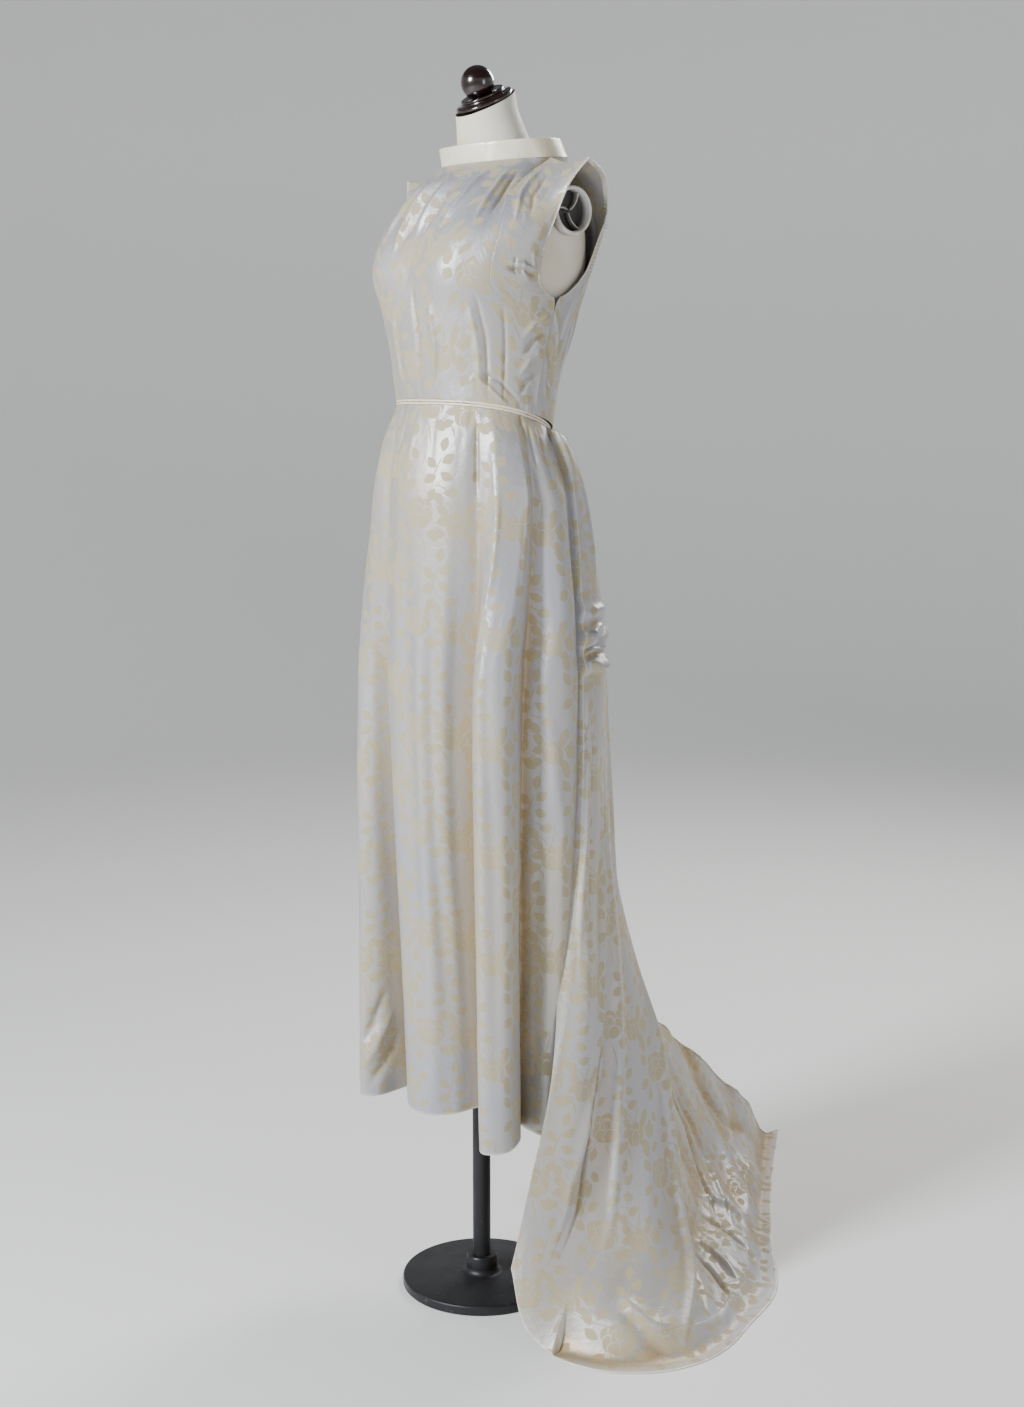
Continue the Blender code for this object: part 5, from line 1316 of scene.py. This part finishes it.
# Leaves and stems round each rose: x, y of the middle, half length, half width, turn in degrees, bow
OPEN_LEAVES = (
    (-36.0, -22.0, 12.0, 7.6, 35.0, 1.5),
    (-22.0, -40.0, 11.5, 7.2, 75.0, -1.2),
    (26.0, -33.0, 12.5, 7.8, -38.0, 1.4),
    (5.0, -46.0, 28.0, 1.1, -72.0, 5.0),
    (-26.0, -31.0, 15.0, 0.9, 38.0, 2.0),
    (43.0, -8.0, 11.5, 7.2, 20.0, -1.4),
    (36.0, 24.0, 12.0, 7.4, -52.0, 1.2),
    (-38.0, 18.0, 12.0, 7.4, 128.0, 1.2),
    (27.0, -20.0, 18.0, 0.9, 24.0, -3.0),
)
SIDE_LEAVES = (
    (-24.0, 22.0, 12.0, 7.4, -40.0, 1.4),
    (20.0, 31.0, 11.5, 7.2, 58.0, -1.2),
    (-2.0, 38.0, 26.0, 1.1, 78.0, -4.0),
    (-28.0, -14.0, 12.0, 7.4, 24.0, 1.0),
    (-17.0, -24.0, 10.0, 1.6, -62.0, 2.0),
    (18.0, -20.0, 9.0, 1.5, 60.0, -2.0),
    (30.0, 6.0, 12.0, 7.6, -18.0, 1.2),
    (-14.0, 30.0, 14.0, 0.9, -44.0, 2.0),
    (24.0, -28.0, 11.0, 7.0, -70.0, 1.0),
)
BUD_LEAVES = (
    (-17.0, 15.0, 11.0, 6.8, 52.0, 1.0),
    (16.0, 20.0, 11.0, 6.8, -50.0, -1.0),
    (1.0, -24.0, 20.0, 1.0, 84.0, 3.0),
    (-14.0, -20.0, 11.5, 7.0, -28.0, 1.2),
    (15.0, -28.0, 11.5, 7.0, 40.0, 1.2),
    (-8.0, -7.0, 7.0, 1.4, -58.0, 1.4),
)

SPRIG_LEAVES = (
    (0.0, 0.0, 30.0, 1.1, 72.0, 5.0),
    (-13.0, 13.0, 11.5, 7.2, 138.0, 1.2),
    (14.0, 20.0, 12.0, 7.4, 38.0, -1.2),
    (-14.0, -13.0, 12.0, 7.4, 22.0, 1.2),
    (14.0, -7.0, 11.5, 7.0, -24.0, -1.0),
    (7.0, 41.0, 11.5, 7.0, 78.0, 1.0),
    (-9.0, -37.0, 11.5, 7.0, 64.0, 1.2),
    (23.0, -30.0, 12.0, 7.2, 12.0, -1.2),
    (8.0, -26.0, 14.0, 0.9, -20.0, 2.0),
)


def threes(rows, filler):
    rows = list(rows)
    while len(rows) % 3:
        rows.append(filler)
    return [rows[i : i + 3] for i in range(0, len(rows), 3)]


def turned_frame(n, u, v, group):
    # Each piece's own lengthways and sideways place, three pieces at a time
    angles = [math.radians(row[4]) for row in group]
    cosines = [math.cos(a) for a in angles]
    sines = [math.sin(a) for a in angles]
    start = [-row[0] * c - row[1] * s for row, c, s in zip(group, cosines, sines)]
    side = [row[0] * s - row[1] * c for row, c, s in zip(group, cosines, sines)]
    x = n.vectors("MULTIPLY_ADD", u, cosines, n.vectors("MULTIPLY_ADD", v, sines, start))
    y = n.vectors("MULTIPLY_ADD", u, [-s for s in sines], n.vectors("MULTIPLY_ADD", v, cosines, side))
    return x, y


def rose(n, u, v, petals, gap=1.7):
    mask = None
    for group in threes(petals, (0.0, 900.0, 1.0, 1.0, 0.0)):
        x, y = turned_frame(n, u, v, group)
        x = n.vectors("MULTIPLY", x, [1.0 / row[2] for row in group])
        y = n.vectors("MULTIPLY", y, [1.0 / row[3] for row in group])
        square = n.vectors("MULTIPLY_ADD", x, x, n.vectors("MULTIPLY", y, y))
        size = [0.25 * (row[2] + row[3]) for row in group]
        inside = n.vectors("MULTIPLY_ADD", square, [-s for s in size], size)
        split = n.node("ShaderNodeSeparateXYZ")
        n.put(split.inputs[0], inside)
        for k, row in enumerate(group):
            if row[1] > 800:
                continue
            petal = split.outputs[k]
            if mask is None:
                mask = petal
                continue
            outside = n.maths("MULTIPLY_ADD", petal, -1.0, -gap)
            mask = n.maths("MAXIMUM", petal, n.maths("MINIMUM", mask, outside))
    return mask


def leaves(n, u, v, rows):
    best = None
    for group in threes(rows, (0.0, 900.0, 1.0, 1.0, 0.0, 0.0)):
        x, y = turned_frame(n, u, v, [(row[0], row[1], 0.0, 0.0, row[4]) for row in group])
        x = n.vectors("MULTIPLY", x, [1.0 / row[2] for row in group])
        room = n.vectors("MULTIPLY_ADD", x, n.vectors("MULTIPLY", x, [-1.0] * 3), [1.0] * 3)
        bowed = n.vectors("MULTIPLY_ADD", room, [-row[5] for row in group], y)
        value = n.vectors("SUBTRACT", n.vectors("MULTIPLY", room, [row[3] for row in group]), n.vectors("ABSOLUTE", bowed))
        best = value if best is None else n.vectors("MAXIMUM", best, value)
    split = n.node("ShaderNodeSeparateXYZ")
    n.put(split.inputs[0], best)
    return n.maths("MAXIMUM", n.maths("MAXIMUM", split.outputs[0], split.outputs[1]), split.outputs[2])


def repeat_spot(n, u, v, x, y):
    # Place in the repeat round (x, y), in millimetres
    column = n.maths("MULTIPLY_ADD", u, 1 / PATTERN_WIDE, 0.5 - x / PATTERN_WIDE)
    across = n.maths("MULTIPLY_ADD", n.maths("FRACT", column), PATTERN_WIDE, -PATTERN_WIDE / 2)
    line = n.maths("MULTIPLY_ADD", v, 1 / PATTERN_TALL, 0.5 - y / PATTERN_TALL)
    line = n.maths("MULTIPLY_ADD", n.maths("FLOOR", column), 0.5, line)
    up = n.maths("MULTIPLY_ADD", n.maths("FRACT", line), PATTERN_TALL, -PATTERN_TALL / 2)
    return across, up


def woven_motif(n, u, v):
    mask = None
    for x, y, petals, foliage in (
        (0.0, 0.0, OPEN_ROSE, OPEN_LEAVES),
        (66.0, -16.0, SIDE_ROSE, SIDE_LEAVES),
        (-30.0, 72.0, BUD_ROSE, BUD_LEAVES),
        (34.0, 66.0, (), SPRIG_LEAVES),
    ):
        across, up = repeat_spot(n, u, v, x, y)
        if not petals:
            mask = n.maths("MAXIMUM", mask, leaves(n, across, up, foliage))
            continue
        flower = rose(n, across, up, petals)
        green = leaves(n, across, up, foliage)
        edge = rose_outline(n, across, up, petals)
        green = n.maths("MINIMUM", green, n.maths("MULTIPLY_ADD", edge, -1.0, -0.8))
        part = n.maths("MAXIMUM", flower, green)
        mask = part if mask is None else n.maths("MAXIMUM", mask, part)
    return mask


def rose_outline(n, u, v, petals):
    # Rough outline of the whole flower, so that leaves end just short of it
    wide = max(abs(row[0]) + row[2] for row in petals) * 0.92
    tall = max(abs(row[1]) + row[3] for row in petals) * 0.92
    x = n.maths("MULTIPLY", u, 1 / wide)
    y = n.maths("MULTIPLY", v, 1 / tall)
    square = n.maths("MULTIPLY_ADD", x, x, n.maths("MULTIPLY", y, y))
    size = 0.25 * (wide + tall) * 2
    return n.maths("MULTIPLY_ADD", square, -size, size)

def bump(n, shader, height, distance, strength=1.0):
    made = n.node("ShaderNodeBump")
    made.inputs["Strength"].default_value = strength
    made.inputs["Distance"].default_value = distance
    n.put(made.inputs["Height"], height)
    n.put(shader.inputs["Normal"], made.outputs["Normal"])


def damask_look(name):
    look, shader = plain_look(name, (0.8, 0.78, 0.7), 0.5, sheen=0.12)
    shader.inputs["Sheen Roughness"].default_value = 0.4
    n = Nodes(look)
    split = n.node("ShaderNodeSeparateXYZ")
    flat = n.node("ShaderNodeUVMap", uv_map="flat").outputs[0]
    n.put(split.inputs[0], flat)
    u = n.maths("MULTIPLY", split.outputs[0], PATTERN_SCALE)
    v = n.maths("MULTIPLY", split.outputs[1], PATTERN_SCALE)
    distance = woven_motif(n, u, v)
    ragged = n.noise(flat, 260.0, 2.0)
    distance = n.maths("ADD", distance, n.maths("MULTIPLY_ADD", ragged, 1.6, -0.8))
    motif = n.maths("MULTIPLY_ADD", distance, 1.6, 0.5, clamp=True)
    place = n.node("ShaderNodeTexCoord").outputs["Object"]
    fold = n.node("ShaderNodeAttribute", attribute_name="fold").outputs["Fac"]
    edge = n.node("ShaderNodeAttribute", attribute_name="edge").outputs["Fac"]
    age = n.ramp(n.noise(place, 4.0, 4.0), 0.38, 0.68)
    ground = n.mix(age, (0.46, 0.46, 0.50, 1.0), (0.53, 0.50, 0.43, 1.0))
    flower = n.mix(age, (0.43, 0.385, 0.27, 1.0), (0.45, 0.385, 0.25, 1.0))
    colour = n.mix(motif, ground, flower)
    # Painted shade: deep in a fold the colour is pulled toward a gold-brown shade tone, by the fold depth attribute
    fold_shade_colour = n.mix(motif, (0.40, 0.27, 0.10, 1.0), (0.32, 0.20, 0.07, 1.0))
    colour = n.mix(n.maths("MULTIPLY", fold, 0.62), colour, fold_shade_colour)
    worn = n.ramp(edge, 0.0, 0.0035, 1.0, 0.0)
    colour = n.mix(n.maths("MULTIPLY", worn, 0.6), colour, (0.90, 0.87, 0.78, 1.0))
    speck = n.ramp(n.noise(place, 60.0, 3.0), 0.70, 0.80, 0.0, 0.25)
    colour = n.mix(speck, colour, (0.62, 0.52, 0.34, 1.0))
    n.put(shader.inputs["Base Color"], colour)
    uneven = n.maths("MULTIPLY_ADD", n.noise(place, 30.0, 3.0), 0.10, 0.45)
    n.put(shader.inputs["Roughness"], n.maths("MULTIPLY_ADD", motif, 0.16, uneven))
    n.put(shader.inputs["Metallic"], n.maths("MULTIPLY_ADD", motif, -0.46, 0.52))
    stretched = n.vectors("MULTIPLY", flat, (2600.0, 620.0, 1.0))
    threads = n.noise(stretched, 1.0, 1.0)
    crinkle = n.noise(flat, 75.0, 4.0, 0.62)
    line = n.maths("ABSOLUTE", n.maths("SUBTRACT", edge, 0.074))
    hem_line = n.ramp(line, 0.0, 0.0012, 1.0, 0.0)
    height = n.maths("MULTIPLY_ADD", crinkle, 3.4, n.maths("MULTIPLY", threads, 0.25))
    height = n.maths("MULTIPLY_ADD", hem_line, -1.2, height)
    bump(n, shader, height, 0.0004, 0.7)
    return look


def satin_look(name):
    look, shader = plain_look(name, (0.84, 0.78, 0.63), 0.36, metallic=0.12, sheen=0.25)
    n = Nodes(look)
    place = n.node("ShaderNodeTexCoord").outputs["Object"]
    flat = n.node("ShaderNodeUVMap", uv_map="flat").outputs[0]
    age = n.ramp(n.noise(place, 22.0, 4.0), 0.35, 0.7)
    n.put(shader.inputs["Base Color"], n.mix(age, (0.87, 0.83, 0.70, 1.0), (0.80, 0.71, 0.50, 1.0)))
    n.put(shader.inputs["Roughness"], n.ramp(n.noise(place, 45.0, 3.0), 0.3, 0.7, 0.30, 0.44))
    threads = n.noise(n.vectors("MULTIPLY", flat, (700.0, 2400.0, 1.0)), 1.0, 1.0)
    crinkle = n.noise(flat, 140.0, 3.0)
    bump(n, shader, n.maths("MULTIPLY_ADD", crinkle, 1.6, n.maths("MULTIPLY", threads, 0.3)), 0.0004, 0.6)
    return look


def cover_look(name):
    look, shader = plain_look(name, (0.80, 0.76, 0.66), 0.62, sheen=0.2)
    n = Nodes(look)
    place = n.node("ShaderNodeTexCoord").outputs["Object"]
    flat = n.node("ShaderNodeUVMap", uv_map="flat").outputs[0]
    age = n.ramp(n.noise(place, 9.0, 5.0, 0.6), 0.36, 0.66)
    colour = n.mix(age, (0.78, 0.76, 0.70, 1.0), (0.74, 0.66, 0.50, 1.0))
    stain = n.ramp(n.noise(place, 26.0, 4.0), 0.60, 0.78, 0.0, 0.35)
    n.put(shader.inputs["Base Color"], n.mix(stain, colour, (0.56, 0.42, 0.24, 1.0)))
    n.put(shader.inputs["Roughness"], n.ramp(n.noise(place, 70.0, 3.0), 0.3, 0.7, 0.52, 0.72))
    weave = n.noise(n.vectors("MULTIPLY", flat, (1500.0, 1500.0, 1.0)), 1.0, 1.0)
    bump(n, shader, weave, 0.0003, 0.35)
    return look


def wood_look(name):
    look, shader = plain_look(name, (0.05, 0.012, 0.008), 0.22, coat=1.0)
    shader.inputs["Coat Roughness"].default_value = 0.06
    n = Nodes(look)
    place = n.node("ShaderNodeTexCoord").outputs["Object"]
    grain = n.noise(n.vectors("MULTIPLY", place, (30.0, 30.0, 420.0)), 1.0, 4.0, 0.6)
    n.put(shader.inputs["Base Color"], n.mix(n.ramp(grain, 0.35, 0.7), (0.003, 0.001, 0.001, 1.0), (0.020, 0.004, 0.002, 1.0)))
    n.put(shader.inputs["Roughness"], n.ramp(grain, 0.3, 0.7, 0.18, 0.30))
    bump(n, shader, grain, 0.0002, 0.2)
    return look


def plastic_look(name):
    look, shader = plain_look(name, (0.74, 0.73, 0.70), 0.38)
    n = Nodes(look)
    place = n.node("ShaderNodeTexCoord").outputs["Object"]
    dirt = n.ramp(n.noise(place, 40.0, 5.0, 0.65), 0.42, 0.72)
    split = n.node("ShaderNodeSeparateXYZ")
    n.put(split.inputs[0], place)
    # Painted shade: the plastic and its fins turn near black deeper inside the socket's cup, by distance from the
    # middle
    deep = n.ramp(n.maths("ABSOLUTE", split.outputs[0]), 0.146, 0.1585, 0.96, 0.0)
    colour = n.mix(dirt, (0.74, 0.74, 0.73, 1.0), (0.52, 0.47, 0.38, 1.0))
    n.put(shader.inputs["Base Color"], n.mix(deep, colour, (0.030, 0.028, 0.026, 1.0)))
    n.put(shader.inputs["Roughness"], n.ramp(dirt, 0.0, 1.0, 0.30, 0.52))
    bump(n, shader, n.noise(place, 900.0, 2.0), 0.0002, 0.25)
    return look


def metal_look(name):
    look, shader = plain_look(name, (0.035, 0.035, 0.038), 0.42, metallic=0.6)
    n = Nodes(look)
    place = n.node("ShaderNodeTexCoord").outputs["Object"]
    wear = n.ramp(n.noise(place, 55.0, 5.0, 0.7), 0.62, 0.74)
    n.put(shader.inputs["Base Color"], n.mix(wear, (0.030, 0.030, 0.033, 1.0), (0.12, 0.11, 0.10, 1.0)))
    n.put(shader.inputs["Roughness"], n.ramp(n.noise(place, 20.0, 4.0), 0.3, 0.7, 0.36, 0.52))
    bump(n, shader, n.noise(place, 700.0, 2.0), 0.0003, 0.3)
    return look


# Build
damask = damask_look("damask_satin_fine")
plain = satin_look("plain_satin_fine")
cover = cover_look("form_cover_fine")
wood = wood_look("polished_wood_fine")
plastic = plastic_look("socket_plastic_fine")
metal = metal_look("stand_metal_fine")

cloth = build_skirt(damask) + build_bodice(damask) + build_rolls(plain) + [build_collar(plain), build_train(damask)]
for piece in cloth:
    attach(piece, "root")
    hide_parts(piece.name.replace("_cloth", ""))
stitches = build_stitches(plain)
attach(stitches, "root")

foot, pole = build_stand(metal)
hard = [(build_torso(cover), "form_torso", "form_cover"), (build_cap(wood), "neck_cap", "polished_wood")]
hard += [(foot, "form_foot", "stand_metal"), (pole, "form_pole", "stand_metal")]
hard += [(piece, node, "socket_plastic") for piece, node in build_sockets(plastic, metal)]
for piece, node, slot in hard:
    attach(piece, "root")
    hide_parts(node)

# Camera, from the wearer's left front
camera_data = bpy.data.cameras.new("camera")
camera = bpy.data.objects.new("camera", camera_data)
bpy.context.scene.collection.objects.link(camera)
camera_data.sensor_fit = "VERTICAL"
camera_data.sensor_width = 36.0
camera_data.sensor_height = 36.0
camera_data.lens = 50.0
VIEW_TURN = math.radians(50.0)
VIEW_DROP = math.radians(9.1)
toward = Vector((math.sin(VIEW_TURN), -math.cos(VIEW_TURN), 0.0))
sideways = Vector((math.cos(VIEW_TURN), math.sin(VIEW_TURN), 0.0))
camera.location = toward * 2.93 + sideways * 0.048 + Vector((0.0, 0.0, 1.40))
gaze = -toward * math.cos(VIEW_DROP) - Vector((0.0, 0.0, math.sin(VIEW_DROP)))
camera.rotation_mode = "QUATERNION"
camera.rotation_quaternion = gaze.to_track_quat("-Z", "Y")
bpy.context.scene.camera = camera

# Studio
def area_light(name, spot, aim, wide, tall, power, colour):
    data = bpy.data.lights.new(name, "AREA")
    data.shape = "RECTANGLE"
    data.size = wide
    data.size_y = tall
    data.energy = power
    data.color = colour
    lamp = bpy.data.objects.new(name, data)
    bpy.context.scene.collection.objects.link(lamp)
    lamp.location = spot
    lamp.rotation_mode = "QUATERNION"
    lamp.rotation_quaternion = (Vector(aim) - Vector(spot)).to_track_quat("-Z", "Y")
    return lamp


centre = (0.1, 0.15, 0.95)
KEY_SPOT = toward * 2.2 - sideways * 2.7 + Vector((0, 0, 2.7))
FILL_SPOT = toward * 2.6 + sideways * 2.6 + Vector((0, 0, 1.7))
BACK_SPOT = -toward * 2.2 + sideways * 1.6 + Vector((0, 0, 3.0))
area_light("key", tuple(KEY_SPOT), centre, 0.8, 1.0, 270.0, (0.93, 0.96, 1.0))
area_light("fill", tuple(FILL_SPOT), centre, 0.9, 1.6, 20.0, (1.0, 0.97, 0.93))
area_light("back", tuple(BACK_SPOT), centre, 1.2, 1.2, 90.0, (1.0, 0.98, 0.95))
world = bpy.data.worlds.new("studio")
bpy.context.scene.world = world
world.use_nodes = True
world.node_tree.nodes["Background"].inputs[0].default_value = (0.86, 0.88, 0.92, 1.0)
world.node_tree.nodes["Background"].inputs[1].default_value = 0.12

# Pale floor that curves up all round
FLOOR_REACH_OUT = 4.6
FLOOR_CURVE = 2.6
bowl = [(0.0, 0.0), (FLOOR_REACH_OUT, 0.0)]
for k in range(1, 17):
    angle = math.radians(90 * k / 16)
    bowl.append((FLOOR_REACH_OUT + FLOOR_CURVE * math.sin(angle), FLOOR_CURVE * (1 - math.cos(angle))))
bowl.append((FLOOR_REACH_OUT + FLOOR_CURVE, 5.0))
floor_look, floor_shader = plain_look("floor", (0.78, 0.78, 0.77), 0.75)
floor_shader.inputs["Emission Color"].default_value = (1.0, 1.0, 1.0, 1.0)
floor_shader.inputs["Emission Strength"].default_value = 0.10
floor = turned("floor", bowl, 96, floor_look)
